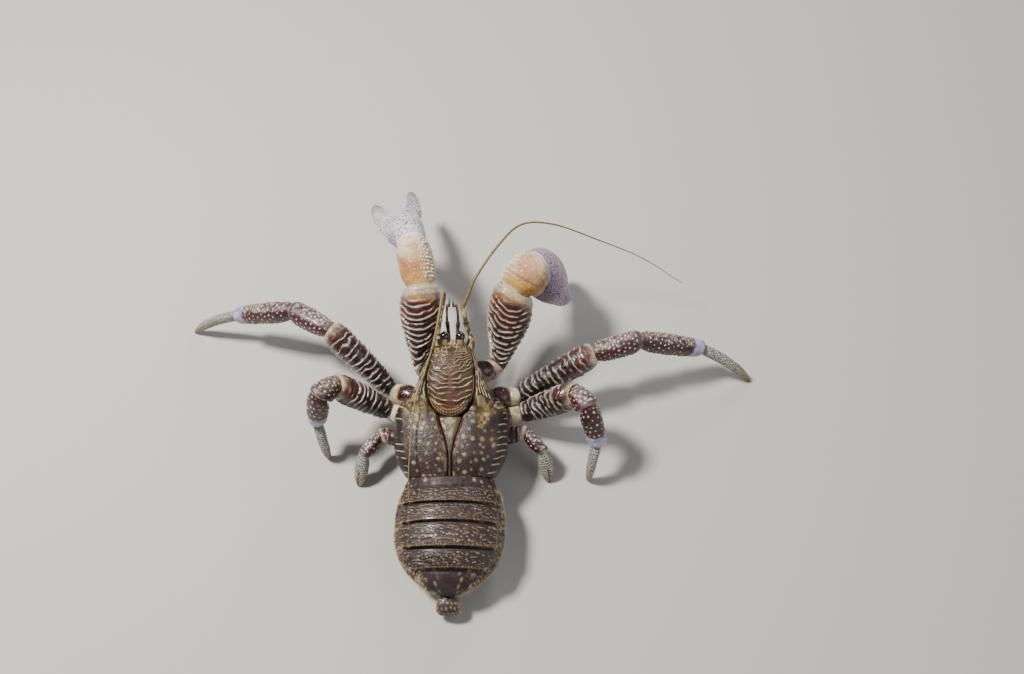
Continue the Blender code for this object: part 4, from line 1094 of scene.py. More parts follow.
def pitted(part, seed, tips, edges_from, outer_side, pit_size):
    """Relief and masks of a hand: low scales, dark bristle pits between them, and horny finger tips.

    White beads line both edges of the hand beyond a share of its length.
    """
    columns = round(part.girth / SCALE_PITCH)
    scale, _ = dots(part.t * part.length / SCALE_PITCH, part.turn, columns, seed, 0.95)
    columns = round(part.girth / PIT_PITCH)
    pit, label = dots(part.t * part.length / PIT_PITCH, part.turn, columns, seed + 5, 0.9)
    window = span(part.t, 0.04, 0.09, 0.93, 0.98)
    dark = ease(pit_size - pit, 0.0, 0.09) * window * (label > 0.12)
    horn = ease(part.t + 0.1 * waver(part.points, 2.0, seed), tips, tips + 0.1)
    cloud = patches(part.points, 6.0, seed + 2, 0.3, 0.7)
    mauve = np.clip(0.08 + 0.45 * cloud + 0.65 * facing(part.angle, outer_side, 0.9), 0, 1) * (1 - 0.7 * horn)
    edges = facing(part.angle, 0.0, 0.45) + facing(part.angle, math.pi, 0.45)
    edges = edges * ease(part.t, edges_from, edges_from + 0.1)
    beads, bead_tops = knobs(part, 1.8, 0.84, 0.85, seed + 3, edges * window, 0.92)
    stand = 0.22 * np.clip(1 - (scale / 0.5) ** 2, 0, 1) * window - 0.16 * dark + beads
    stand = stand + 0.3 * waver(part.points, 3.5, seed + 4) * window
    halo = ease(0.5 - pit, 0.0, 0.12) * fade(0.3 - pit, 0.0, 0.05) * window
    pale = 0.35 * ease(0.42 - scale, 0.0, 0.3) * window + 0.8 * bead_tops + 0.25 * halo
    fields = {
        "dark": 0.9 * dark * (1 - bead_tops),
        "warm": horn,
        "cool": mauve,
        "pale": np.clip(pale, 0, 1),
        "tuft": dark * (label > 0.55),
    }
    return stand, fields


def wrist(name, side_name, start, end, scale, knob_rows, seed):
    """An ochre wrist with rows of cream spikes along its inner edge and a fold across it."""
    looks = CLAW_LOOKS[side_name]
    part = Segment(start, end, scaled(WRIST_PROFILES[side_name], scale), (0.22, 0.27), stiff=1.0)
    window = span(part.t, 0.08, 0.16, 0.94, 0.985)
    lit = np.clip(sum(facing(part.angle, math.radians(row), 0.42) for row in knob_rows), 0, 1)
    spikes, spike_tops = knobs(part, 1.5, 0.58, 1.25, seed + 1, lit * window, 0.95, 1.0, 1.2)
    low, low_tops = knobs(part, 1.5, 0.46, 0.22, seed + 2, window * (1 - lit), 0.7)
    low = low + 0.7 * waver(part.points, 4.0, seed + 7) * window
    fold = looks["fold"] * peak(part.t - looks["fold_at"], 0.06 * np.cos(2 * part.angle), 0.014)
    fold = fold * ease(np.sin(part.angle), 0.1, 0.5)
    blush = 0.5 + 0.5 * patches(part.points, 3.5, seed, 0.25, 0.6)
    blush = blush * facing(part.angle, 2.0, 1.15) * (1 - lit) * peak(part.t, looks["blush_at"], 0.24)
    yellow_to = looks["yellow_to"]
    near_end = span(part.t, 0.05, 0.15, yellow_to - 0.19, yellow_to)
    yellow = 0.8 * near_end * (1 - 0.6 * blush) + 0.25 * patches(part.points, 5.0, seed + 8, 0.4, 0.7)
    creamy = 0.55 * ease(part.t, 0.45, 0.8) * patches(part.points, 3.0, seed + 9, 0.3, 0.6)
    # Painted shade between the spikes in their rows.
    between = (ease(lit, 0.3, 0.7) - spike_tops).clip(0, 1)
    fields = {
        "pale": np.clip(0.95 * spike_tops + 0.16 * low_tops + 0.3 * lit + creamy * looks["cream"], 0, 1),
        "warm": 0.85 * blush,
        "ochre": np.clip(yellow, 0, 1) * (1 - lit),
        "cool": 0.5 * ease(part.t, 0.84, 0.92),
        "dark": 0.6 * fold + 0.28 * between * window,
        "skin": np.maximum(0.8 * ease(part.t, 0.955, 0.975), fade(part.t, 0.02, 0.06)),
        "tuft": 0.5 * spike_tops * (1 - spike_tops) * 4,
    }
    stand = spikes + low - 0.3 * fold
    return surface(name, part.raised(stand), fields, SHELL["cuff"], HEAD, SOCKET, 2.0, 1.6, part.way)


def palm(name, side_name, joint, way, thumb, back, length, scale, seed):
    """A pale hand that narrows into its fixed finger, with teeth on the side of the thumb."""
    looks = CLAW_LOOKS[side_name]
    point, normal = joint
    t = column(0, 1, int(length / 0.27))
    sizes = table(PALM_PROFILES[side_name], t[:, 0]) * scale
    shift, half_width, half_height = np.split(sizes, 3, axis=1)
    normals = unit(way + (normal - way) * np.clip(1 - t / WRIST_SHARE, 0, 1))
    centres = point + normal * GAP / 2 + way * length * t + thumb * shift
    rows, angle = oval_rows(centres, normals, back, half_width, half_height, PALM_COLUMNS, HAND_SQUARENESS)
    hand = Hand(rows, angle, t, length)
    stand, fields = pitted(hand, seed, 0.76, 0.22, math.pi, looks["pits"])
    stand = stand + teeth(t, angle, 0.0, 0.6, 0.95, TOOTH_HEIGHT)
    fields["pale"] = np.maximum(fields["pale"], 0.85 * peak(t, 0.035, 0.011))
    fields["skin"] = np.clip(teeth(t, angle, 0.0, 0.6, 0.95, 1.0), 0, 1)
    return surface(name, hand.raised(stand), fields, SHELL[f"{side_name}_hand"], HEAD, TIP, 1.8, 0.9, way)


def finger(name, side_name, hinge, line, back, reach, scale, seed):
    """The thumb, a bowed finger with teeth on the side of the hand."""
    looks = CLAW_LOOKS[side_name]
    inward = unit(np.cross(line, back))
    t = column(0, 1, int(reach / 0.22))
    sizes = table(THUMB_PROFILES[side_name], t[:, 0]) * scale
    half_width, half_height = np.split(sizes, 2, axis=1)
    centres = hinge + line * reach * t + inward * THUMB_BOW * scale * 4 * t * (1 - t)
    normals = line + 0 * centres
    rows, angle = oval_rows(centres, normals, back, half_width, half_height, FINGER_COLUMNS, HAND_SQUARENESS)
    moving = Hand(rows, angle, t, reach)
    stand, fields = pitted(moving, seed, 0.64, 0.05, math.pi / 2, looks["pits"])
    stand = stand + teeth(t, angle, math.pi, 0.18, 0.92, TOOTH_HEIGHT)
    fields["skin"] = np.clip(teeth(t, angle, math.pi, 0.18, 0.92, 1.0), 0, 1)
    return surface(name, moving.raised(stand), fields, SHELL[f"{side_name}_hand"], FLAT, TIP, 0.0, 0.9, line)


def great_claw(side_name, seed):
    """The five pieces of a great claw, from its hip to its thumb."""
    name = f"claw_{side_name}"
    scale, palm_scale, root, start, *ways, thumb_way, opening, knob_rows = GREAT_CLAWS[side_name]
    points = [body(*root), np.array(start)]
    for way, length in ways:
        points.append(points[-1] + heading(*way) * length)
    hip_joint, elbow, wrist_joint, hand_joint = joints_of(points)[:4]
    profiles = {piece: scaled(profile, scale) for piece, profile in CLAW_PROFILES.items()}
    dressed(hip(f"{name}_hip", (hip_joint, elbow), profiles["base"]), f"{name}_base")
    arm = merus(f"{name}_arm", elbow, wrist_joint, profiles["merus"], seed, SHELL["arm"], 1.0, **ARM_RIDGES)
    dressed(arm, f"{name}_merus")
    cuff = wrist(f"{name}_wrist", side_name, wrist_joint, hand_joint, scale, knob_rows, seed)
    dressed(cuff, f"{name}_carpus")

    way = heading(*ways[-1][0])
    thumb = heading(*thumb_way)
    thumb = unit(thumb - way * (thumb @ way))
    back = unit(np.cross(thumb, way))
    hand = palm(f"{name}_hand", side_name, hand_joint, way, thumb, back, length, palm_scale, seed + 3)
    dressed(hand, f"{name}_palm")
    swing = math.radians(opening)
    line = way * math.cos(swing) + thumb * math.sin(swing)
    hinge = hand_joint[0] + way * length * HINGE_SHARE + thumb * HINGE_OFFSET * palm_scale
    reach = length * THUMB_SHARE
    moving = finger(f"{name}_finger", side_name, hinge, line, back, reach, palm_scale, seed + 4)
    dressed(moving, f"{name}_thumb")
    radii = (3.8 * scale, 6.3 * scale, 6.2 * palm_scale)
    for joint, radius in zip((elbow, wrist_joint, hand_joint), radii):
        joint_between(joint, radius)


for side_name, seed in (("left", 81), ("right", 91)):
    great_claw(side_name, seed)
print("claws:", [n for n in pieces if n.startswith("claw")])

# %% [markdown]
# ## Joint skin
#
# Where two segments meet, cream skin bulges between their edges. Each is a short wrinkled drum that
# sits in the joint, most of it hidden in the sockets.


# %% Soft skin in every joint
DRUM_COLUMNS = 48


def skin_drum(point, normal, radius, seed):
    """Rows of a short bellows about a joint."""
    t = column(-1, 1, 15)
    angle = around(DRUM_COLUMNS)
    side = unit(np.cross(normal, UP + 0.01))
    over = np.cross(side, normal)
    swell = radius * (0.93 + 0.05 * np.cos(t * 7.0) - 0.25 * t**4) * (1 + 0.03 * np.sin(5 * angle + seed))
    centre = point + normal * t * (0.32 * radius)
    ring = side * np.cos(angle)[..., None] + over * np.sin(angle)[..., None]
    return centre[:, None] + ring * swell[..., None]


def joined(name, things):
    """One plain mesh from several objects, which are then removed."""
    together = bmesh.new()
    for thing in things:
        together.from_mesh(thing.data)
    mesh = bpy.data.meshes.new(name)
    together.to_mesh(mesh)
    together.free()
    mesh.materials.append(things[0].data.materials[0])
    for thing in things:
        pieces.pop(thing.name, None)
        bpy.data.objects.remove(thing)
    pieces[name] = placed(name, mesh)
    return pieces[name]


drums = [
    surface(f"drum_{i}", skin_drum(*place, i), {"pale": 0.0}, JOINT_SKIN)
    for i, place in enumerate(joint_skins)
]
all_joint_skin = joined("joint_skins", drums)
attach(all_joint_skin, "root")
print("joints with skin:", len(joint_skins))

# %% [markdown]
# ## The front of the carapace
#
# An oval shield lies between two cheeks, with a deep polished groove round it. The shield has pale
# ridges that curve like smiles, broken along the middle by a rusty stripe. The cheeks have long fine
# lines that run to the brow. The surface is one grid across the body, and its relief is worked out from
# the place of each point on the shield.

# %% The shield's tables
SHIELD_LENGTH, BROW, ROSTRUM_TIP, CHEEK_START = 34.0, 34.9, 37.5, 8.5
PLATE_FLOOR = -12.0
SHIELD_EDGE = [(0, 2.2), (1.2, 4.8), (4.5, 8.0), (9, 10.1), (15, 11.1), (21, 11.0), (27, 10.1), (31, 8.9),
               (SHIELD_LENGTH, 7.2), (BROW, 2.6), (ROSTRUM_TIP, 0.5)]
CHEEK_EDGE = [(CHEEK_START, 21.6), (13, 18.6), (19.5, 15.8), (27, 12.2), (31, 10.0), (SHIELD_LENGTH, 7.8),
              (BROW, 3.0), (ROSTRUM_TIP, 0.7)]
CROWN = [(0, -3.0), (1.2, -1.0), (4.5, 0.6), (10, 2.0), (18, 2.2), (26, 0.6), (31, -1.8),
         (SHIELD_LENGTH, -3.6), (ROSTRUM_TIP, -5.6)]
FRONT_FLOOR = [(0, PLATE_FLOOR), (30, PLATE_FLOOR), (SHIELD_LENGTH, -10.0), (ROSTRUM_TIP, -8.0)]
SHIELD_SLOPE = [(0.0, 0.0), (0.3, 0.04), (0.6, 0.2), (0.85, 0.6), (0.96, 1.0), (1.0, 1.35)]
CHEEK_SLOPE = [(0.0, 0.0), (0.12, -0.06), (0.45, 0.08), (0.8, 0.38), (1.0, 1.0)]
WALL_SLOPE = [(0.0, 0.0), (0.3, 0.1), (0.6, 0.35), (0.85, 0.65), (1.0, 1.0)]
GROOVE_FROM, RIDGE_PITCH, RIDGE_TOP = 0.93, 2.5, 0.74


# %% Shield, groove and cheeks as one grid
def carapace_front():
    """The smooth surface in the body's axes, and where each point lies.

    That is a share of the way from the middle to the groove, then 1 and a share of the cheek.
    """
    y = np.concatenate([column(0, CHEEK_START - 0.15, 44), column(CHEEK_START, ROSTRUM_TIP, 150)])
    inner = table(SHIELD_EDGE, y[:, 0])
    behind = y < CHEEK_START
    outer = np.where(behind, inner + 0.8, table(CHEEK_EDGE, y[:, 0]))
    crown, floor = table(CROWN, y[:, 0]), table(FRONT_FLOOR, y[:, 0])
    shoulder = crown - 0.22 * inner - 0.1
    groove = shoulder - 1.5
    share = np.linspace(0, 1, 72)[None, :]
    over_shield = crown - (crown - shoulder) * table(SHIELD_SLOPE, share[0])[:, 0]
    into_groove = over_shield + (groove - over_shield) * ease(share, GROOVE_FROM, 1.0)
    over_shield = np.where(share > GROOVE_FROM, into_groove, over_shield)
    out = np.linspace(0, 1, 64)[None, 1:]
    slope = np.where(behind, table(WALL_SLOPE, out[0])[:, 0], table(CHEEK_SLOPE, out[0])[:, 0])
    rise = 0.9 * ease(out, 0.0, 0.1) * fade(out, 0.5, 1.0) * ~behind
    over_cheek = groove - (groove - floor) * slope + rise
    half_x = beside(inner * share, inner + (outer - inner) * out)
    half_z = beside(over_shield, over_cheek)
    where = beside(share + 0 * y, 1 + out + 0 * y)
    x = beside(-half_x[:, :0:-1], half_x)
    z = beside(half_z[:, :0:-1], half_z)
    where = beside(where[:, :0:-1], where)
    return x, y + 0 * x, z, where


def shield_relief(x, y, where):
    """Height and masks of the shield's ridges and the cheeks' lines."""
    flat = np.stack([x, y], axis=-1)
    curl = ease(y, 14.0, 28.0)
    bend = 0.6 * waver(flat, 3.2, 5) + (0.35 + 0.35 * curl) * waver(flat, 1.9, 6)
    bend = bend + 0.22 * curl * np.cos(2 * math.pi * x / 4.2 + 1.1 * y)
    closer = 0.01 * np.clip(y - 16.0, 0, None) ** 2
    phase = (y - (0.035 + 0.035 * curl) * x**2) / RIDGE_PITCH + closer + bend
    ridge = np.floor(phase)
    f = phase - ridge
    climb = np.where(f < RIDGE_TOP, ease(f, 0.0, RIDGE_TOP), fade(f, RIDGE_TOP, 0.95))
    strength = patches(np.stack([x, ridge * 5.1], -1), 3.0, 7, 0.3, 0.46)
    strength = strength * (0.15 + 0.85 * ease(np.abs(x + 0.5 * waver(flat, 2.0, 13)), 0.5, 2.4))
    on_shield = fade(where, 0.88, GROOVE_FROM)
    window = on_shield * ease(y, 3.6, 6.0) * fade(y, 30.0, 32.5)
    beads = 0.6 + 0.4 * patches(flat, 0.5, 14, 0.35, 0.6)
    edge = peak(f, 0.77, 0.062) * strength * window
    shade = (ease(f, 0.86, 0.93) + fade(f, 0.0, 0.25)) * strength * window
    stand = 0.45 * climb * (0.3 + 0.7 * strength) * window + 0.08 * edge * beads

    # Raised arcs near the back of the shield, painted pale along their crests as highlights.
    behind = np.hypot(x / 11.3, (y - 15.0) / 15.2)
    arcs = sum(peak(behind, at, 0.017) for at in (0.8, 0.875, 0.945)) * fade(y, 6.0, 10.0) * on_shield
    waves = np.cos(2 * math.pi * x / 1.35 + 3.0 * clouds(flat, 2.0, 16))
    arcs = arcs * (0.35 + 0.65 * ease(waves, -0.5, 0.5))
    margin = peak(where, 0.955, 0.016) * ease(y, 2.0, 5.0) * patches(flat, 1.6, 15, 0.2, 0.4)

    cheek = span(where, 1.06, 1.1, 1.86, 1.97) * (y > CHEEK_START)
    count = (where - 1.0) * 8.0 + 0.9 * waver(np.stack([x, y * 0.5], -1), 2.4, 8)
    line = np.abs(count - np.floor(count) - 0.5)
    broken = patches(np.stack([np.floor(count) * 3.7, y], -1), 2.0, 9, 0.28, 0.42)
    lines = ease(0.22 - line, 0.0, 0.13) * cheek * broken * (0.7 + 0.3 * beads)
    brow = ease(y, 29.5, 32.0) * on_shield
    curls = np.abs(clouds(np.stack([x, 0.75 * y], -1), 1.7, 11) - 0.5)
    worms = ease(0.075 - curls, 0.0, 0.05) * brow
    stand = stand + 0.3 * lines + 0.35 * worms + 0.22 * arcs + 0.25 * margin
    # Painted shade in the groove round the shield.
    groove = 0.28 * peak(where, 1.0, 0.028) * (1 - 0.5 * ease(y, 28, 32))
    stripe = peak(x, 0, 2.0) * ease(y, 4.0, 9.0) * fade(y, 20.0, 29.0)
    fields = {
        "pale": np.clip(0.95 * edge * beads + 0.85 * lines + 0.75 * worms + 0.42 * arcs + 0.8 * margin, 0, 1),
        "dark": np.clip(groove + 0.75 * shade + 0.4 * cheek * (1 - lines), 0, 1) * (1 - 0.6 * arcs),
        "warm": np.clip(0.6 * stripe * (1 - edge) + 0.45 * fade(y, 5.0, 9.0) * on_shield, 0, 1),
        "cool": 0.7 * cheek * patches(flat, 4.0, 12, 0.35, 0.7),
        "skin": 0.6 * ease(y, 34.0, 35.0),
    }
    return stand, fields


x, y, z, where = carapace_front()
stand, fields = shield_relief(x, y, where)
top = body(x, y, z + stand)
under = np.linspace(1, -1, 12)[None, 1:-1]
bottom = body(x[:, -1:] * under, y[:, :1], z[:, :1])
front = surface("shield_and_cheeks", beside(top, bottom), padded(fields, x, bottom), SHELL["shield"])
dressed(front, "carapace_front")
print("shield faces:", len(front.data.polygons))

# %% [markdown]
# ## The back of the carapace
#
# Behind the groove two gill lobes lie side by side, dark brown with soft pale dots, and a narrow
# pale wedge parts them. Each lobe's outer edge is crossed by short white lines.

# %% Gill lobes and wedge
THORAX_LENGTH = 27.0
WEDGE_EDGE = [(-THORAX_LENGTH, 0.9), (-16, 1.1), (-1.5, 5.0), (4, 6.5)]
LOBE_EDGE = [(-THORAX_LENGTH, 20.5), (-20, 24.5), (-10, 26.5), (0, 26.5), (5, 25.2), (9.5, 22.4), (11, 20.4)]
LOBE_TOP = [(-THORAX_LENGTH, -3.4), (-18, -1.2), (-8, -0.8), (0, -2.2), (6, -4.8), (9.5, -7.6), (11, -9.8)]
LOBE_SLOPE = [(0.0, 0.0), (0.25, -0.03), (0.5, 0.05), (0.72, 0.2), (0.88, 0.42), (0.96, 0.66), (1.0, 1.0)]
LOBE_END = 11.0
CHEEK_INNER, CHEEK_WIDTH = 9.9, 11.7
DOT_PITCH, LINE_PITCH = 3.6, 2.9


def shield_outline(y):
    """Half the width of the front plate and its groove at y, which the lobes keep clear of."""
    behind, beside = table(SHIELD_EDGE, y[:, 0]) + 0.9, table(CHEEK_EDGE, y[:, 0]) + 0.3
    return np.where(y < 0, 0, np.where(y < CHEEK_START, behind, beside))


def table_over(rows, places):
    """The values of a table with one value a row, at every point of a grid."""
    return table(rows, places.ravel())[:, 0].reshape(places.shape)


def lobe_relief(x, y, inner, place, seed):
    """Height and masks of a lobe: soft pale dots, short white lines at its edge and folds in front."""
    flat = np.stack([x, y + 0 * x], axis=-1)
    rows = y / DOT_PITCH + 0.7 * waver(flat, 6.0, seed)
    distance, label = dots(rows + 40, x / 33.0, 9, seed, 0.7)
    inside = ease(x - inner, 1.2, 3.0) * fade(place, 0.72, 0.8)
    reach = 0.06 + 0.21 * label
    brightness = 0.45 + 0.55 * scatter(np.floor(label * 999).astype(int)[..., None], 3)
    dot = ease(reach - distance, -0.17, 0.17) * inside * brightness
    phase = y / LINE_PITCH + 0.25 * waver(flat, 3.0, seed + 1) - 0.1 * x
    line = np.abs(phase - np.floor(phase) - 0.5)
    edge = span(place, 0.76, 0.84, 0.965, 0.99)
    lines = ease(0.12 - line, 0.0, 0.07) * edge * patches(flat, 2.6, seed + 2, 0.25, 0.5)
    notch = peak(x - 15.0, 0.25 * (y + 1), 1.1 + 0.16 * np.clip(y + 6, 0, 9))
    notch = notch * ease(y, -7.0, -2.0) * fade(y, 4.0, 7.5)
    rusty = peak(x - inner, 1.0, 1.1) * ease(y, -20.0, -13.0) * fade(y, -3.0, 0.5)
    folds = clouds(flat, 1.9, seed + 3)
    front_zone = ease(y, 0.0, 6.0)
    fine = clouds(flat, 0.8, seed + 6)
    stand = 0.2 * dot + 0.3 * lines - 0.35 * notch + 0.75 * front_zone * folds
    stand = stand + 0.25 * clouds(flat, 4.5, seed + 4) + 0.06 * fine
    rim = peak(x - inner, 0.9, 0.45) * patches(flat, 1.5, seed + 7, 0.4, 0.6)
    yellow = 0.7 * notch * patches(flat, 1.3, seed + 8, 0.15, 0.55)
    fields = {
        "pale": np.clip(0.66 * dot + 0.85 * lines + 0.35 * rim, 0, 1),
        "warm": 0.8 * rusty * (0.4 + 0.6 * patches(flat, 1.6, seed + 10, 0.3, 0.6)),
        "ochre": np.clip(yellow + 0.35 * front_zone * ease(folds, 0.45, 0.7), 0, 1),
        "dark": np.clip(0.7 * edge * (1 - lines) + 0.3 * ease(fine, 0.5, 0.7) * (1 - dot), 0, 1),
        "cool": np.clip(0.8 * patches(flat, 5.0, seed + 5, 0.3, 0.8), 0, 1),
        "skin": 0.55 * front_zone * ease(folds, 0.6, 0.8),
    }
    return stand, fields, flat


def gill_lobe(side_name, side, seed):
    """A lobe with its outer wall and flat bottom, as one closed grid."""
    y = column(-THORAX_LENGTH, LOBE_END, 150)
    wedge = table(WEDGE_EDGE, y[:, 0]) + 0.15
    inner = np.maximum(wedge, shield_outline(y))
    outer, top = table(LOBE_EDGE, y[:, 0]), table(LOBE_TOP, y[:, 0])
    inner = np.minimum(inner, outer - 0.6)
    share = np.linspace(0, 1, 110)[None, :]
    x = inner + (outer - inner) * share
    place = (x - wedge) / (outer - wedge)
    z = top - (top - PLATE_FLOOR) * table_over(LOBE_SLOPE, place)
    across = np.clip((x - CHEEK_INNER) / CHEEK_WIDTH, 0, 1)
    cheek = -2.0 - 10.0 * table_over(CHEEK_SLOPE, across)
    cheek = cheek + 0.9 * ease(across, 0.0, 0.1) * fade(across, 0.5, 1.0)
    z = z + np.clip(cheek - z, 0, None) * ease(y, 0.0, 7.5) * (y < CHEEK_START)
    z = z - 0.9 * fade(x - inner, 0.0, 1.3)
    stand, fields, flat = lobe_relief(x, y, inner, place, seed)
    overlap = 1.3 * patches(flat * np.array((1, 0)), 2.1, seed + 9, 0.2, 0.8)
    overlap = overlap * ease(y, 5.5, 8.4) * fade(x, 19.0, 21.5)
    lift = 0.35 * ease(y, 6.0, 8.0) * (y < CHEEK_START)
    points = body(side * x, y + overlap, z + stand + lift)
    inwards = np.linspace(0, 1, 8)[None, 1:]
    bottom = body(side * (outer + (inner - outer) * inwards), y, PLATE_FLOOR)
    upwards = np.linspace(1, 0, 6)[None, 1:-1]
    wall = body(side * inner, y, z[:, :1] + (PLATE_FLOOR - z[:, :1]) * upwards)
    rest = beside(bottom, wall)
    rows, fields = beside(points, rest), padded(fields, x, rest)
    return surface(f"gill_lobe_{side_name}", rows, fields, SHELL["lobe"])


for side_name, side in SIDES.items():
    dressed(gill_lobe(side_name, side, 31 + side), f"branchial_{side_name}")

y = column(-THORAX_LENGTH, 2.0, 130)
half = table(WEDGE_EDGE, y[:, 0]) - 0.25
share = np.linspace(-1, 1, 61)[None, :]
x = half * share
flat = np.stack([x, y + 0 * x], axis=-1)
height = table(LOBE_TOP, y[:, 0]) - 0.5 - 0.55 * share**4 + 0.25 * waver(flat, 1.4, 41)
drop = 2.2 * ease(y, -0.5, 2.0)
bottom = body(half * np.linspace(1, -1, 7)[None, :], y, PLATE_FLOOR)
points = beside(body(x, y, height - drop), bottom)
rust = ease(np.abs(share) + 0.25 * waver(flat, 2.0, 43), 0.32, 0.66)
fields = {
    "pale": 0.5 * (1 - rust) * patches(flat, 2.0, 42, 0.4, 0.7) * fade(-y, 8.0, 14.0),
    "warm": rust * 0.75,
    "cool": 0.45 * (1 - rust) * ease(y, -9, -2),
    "dark": 0.55 * rust * ease(np.abs(share), 0.75, 0.95) + 0.75 * ease(-y, 8.0, 15.0) * (1 - 0.5 * rust),
}
wedge = surface("wedge_plate", points, padded(fields, x, bottom), SHELL["wedge"])
dressed(wedge, "cardiac_plate")
print("back plates:", [n for n in pieces if "lobe" in n or "wedge" in n])

# %% [markdown]
# ## Abdomen, its plates and tail
#
# A grown coconut crab tucks a soft, wrinkled abdomen behind it, with hard plates along the top and tufts
# of bristles down its sides. It can't be seen in the photograph, so it follows the species.

# %% Abdomen
ABDOMEN_AXIS = [
    # share of the length, y, z, half width, half height
    (0.0, -22.7, 20.0, 19.5, 14.0),
    (0.1, -29.0, 18.0, 22.5, 15.8),
    (0.35, -41.0, 16.0, 25.0, 17.4),
    (0.6, -53.0, 14.8, 24.5, 16.0),
    (0.8, -62.5, 13.0, 20.5, 13.4),
    (0.92, -69.0, 12.0, 14.0, 10.0),
    (0.98, -72.6, 10.6, 7.5, 6.0),
    (1.0, -74.0, 10.0, 3.0, 2.6),
]
TERGITES_FROM, TERGITES_TO, TERGITE_COUNT = 0.06, 0.86, 4
TERGITE_SHARE, TERGITE_HALF_TURN = 0.88, 60


def abdomen_rows(t, angle, swell):
    """Points round the abdomen, for shares of its length and angles counted from the right side up."""
    place = table(ABDOMEN_AXIS, t[:, 0])
    ahead, behind = table(ABDOMEN_AXIS, t[:, 0] - 0.01), table(ABDOMEN_AXIS, t[:, 0] + 0.01)
    normal = unit(np.stack([0 * t[:, 0], ahead[:, 0] - behind[:, 0], ahead[:, 1] - behind[:, 1]], -1))
    normal[t[:, 0] <= 0] = unit(body(0, 1, 0) - body(0, 0, 0))
    over = unit(np.cross(RIGHT, normal))
    x = (place[:, 2:3] + swell) * np.cos(angle)
    y = (place[:, 3:4] + swell) * np.sin(angle)
    middle = np.stack([0 * t[:, 0], place[:, 0], place[:, 1]], -1)
    rows = middle[:, None] + RIGHT * x[..., None] + over[:, None] * y[..., None]
    rows[..., 2] = np.maximum(rows[..., 2], 0.0)
    return rows


t = column(0.0, 1.0, 150)
angle = around(210)
smooth = abdomen_rows(t, angle, 0.0)
band = (t - TERGITES_FROM) / (TERGITES_TO - TERGITES_FROM) * TERGITE_COUNT
seam = peak(band, np.round(band), 0.06) * ease(t, 0.02, 0.06) * fade(t, 0.86, 0.9)
wrinkle = np.abs(2 * clouds(smooth * np.array((1, 2.4, 1)), 2.4, 51) - 1)
wrinkle = wrinkle + 0.6 * np.abs(2 * clouds(smooth, 1.2, 52) - 1)
distance, label = dots(t * 22, angle / (2 * math.pi), 34, 53, 0.8)
spot = ease(0.34 - distance, 0.0, 0.2) * (label > 0.45) * ease(np.abs(np.cos(angle)), 0.15, 0.5)
calm = ease(smooth[..., 2], 0.3, 1.5)
swell = (-0.35 * seam - 0.35 * wrinkle + 0.25 * spot) * calm * ease(t, 0.0, 0.03)
rows = abdomen_rows(t, angle, swell)
flank = ease(np.abs(np.cos(angle)), 0.45, 0.8) * ease(np.sin(angle), -0.55, -0.1)
fields = {
    "pale": 0.8 * spot + 0.25 * fade(np.sin(angle), -0.6, 0.1),
    "dark": 0.6 * seam + 0.35 * ease(0.25 - wrinkle, 0.0, 0.2),
    "tuft": flank * ease(t, 0.05, 0.12) * (label > 0.3),
}
abdomen = surface("soft_abdomen", rows, fields, ABDOMEN_SKIN, FLAT, TIP, 0.0, 1.0)
dressed(abdomen, "abdomen")
print("abdomen faces:", len(abdomen.data.polygons))


# %% Plates over the abdomen, and the tail
def tergite(i):
    """One hard plate over the abdomen, with cross ridges and a pale back edge."""
    pitch = (TERGITES_TO - TERGITES_FROM) / TERGITE_COUNT
    front, back = TERGITES_FROM + i * pitch, TERGITES_FROM + (i + TERGITE_SHARE) * pitch
    share = column(0, 1, 60)
    t = front + (back - front) * share
    half_turn = math.radians(TERGITE_HALF_TURN) * (1 - 0.12 * np.abs(2 * share - 1) ** 5)
    side = np.linspace(-1, 1, 170)[None, :]
    angle = math.pi / 2 + half_turn * side
    rim = 1 - 0.45 * ease(np.abs(side), 0.86, 1.0)
    thickness = (0.7 + 1.1 * share**0.7) * rim
    place = np.stack([side * 22 + 0 * t, share * 9 + 0 * side], -1)
    phase = share * 5.0 + 1.2 * waver(place, 4.0, 60 + i) + 0.8 * waver(place, 1.7, 65 + i)
    f = phase - np.floor(phase)
    strength = patches(np.stack([side * 20 + 0 * f, np.floor(phase) * 4.0], -1), 1.5, 70 + i, 0.56, 0.68)
    window = span(share, 0.05, 0.15, 0.85, 0.93) * fade(np.abs(side), 0.88, 0.96)
    edge = peak(f, 0.75, 0.1) * strength * window
    stand = 0.3 * ease(f, 0.1, 0.75) * fade(f, 0.78, 0.95) * (0.4 + 0.6 * strength) * window
    distance, label = dots(share * 5.2 + 0 * side, (side + 1) / 2 + 0 * share, 26, 90 + i, 0.8)
    dot = ease(0.08 + 0.2 * label - distance, -0.08, 0.1) * window * (1 - strength)
    stand = stand + 0.35 * waver(place, 2.6, 75 + i) * window + 0.25 * dot
    upper = abdomen_rows(t, angle, 0.4 + thickness + stand)
    lower = abdomen_rows(t, angle[:, ::-1][:, ::8], 0.35 + 0 * t)
    fields = {
        "pale": np.clip(0.8 * edge + 0.7 * dot, 0, 1) + 0.3 * ease(share, 0.96, 1.0),
        "warm": 0.4 * ease(share, 0.85, 0.95),
        "dark": 0.4 * fade(share, 0.0, 0.1),
        "tuft": 0.8 * ease(share, 0.84, 0.9) * fade(share, 0.97, 0.99),
    }
    rows, fields = beside(upper, lower), padded(fields, f, lower)
    return surface(f"back_plate_{i + 1}", rows, fields, SHELL["back"], lay=(0, -1.5, 0))


for i in range(TERGITE_COUNT):
    dressed(tergite(i), f"tergite_{i + 1}")


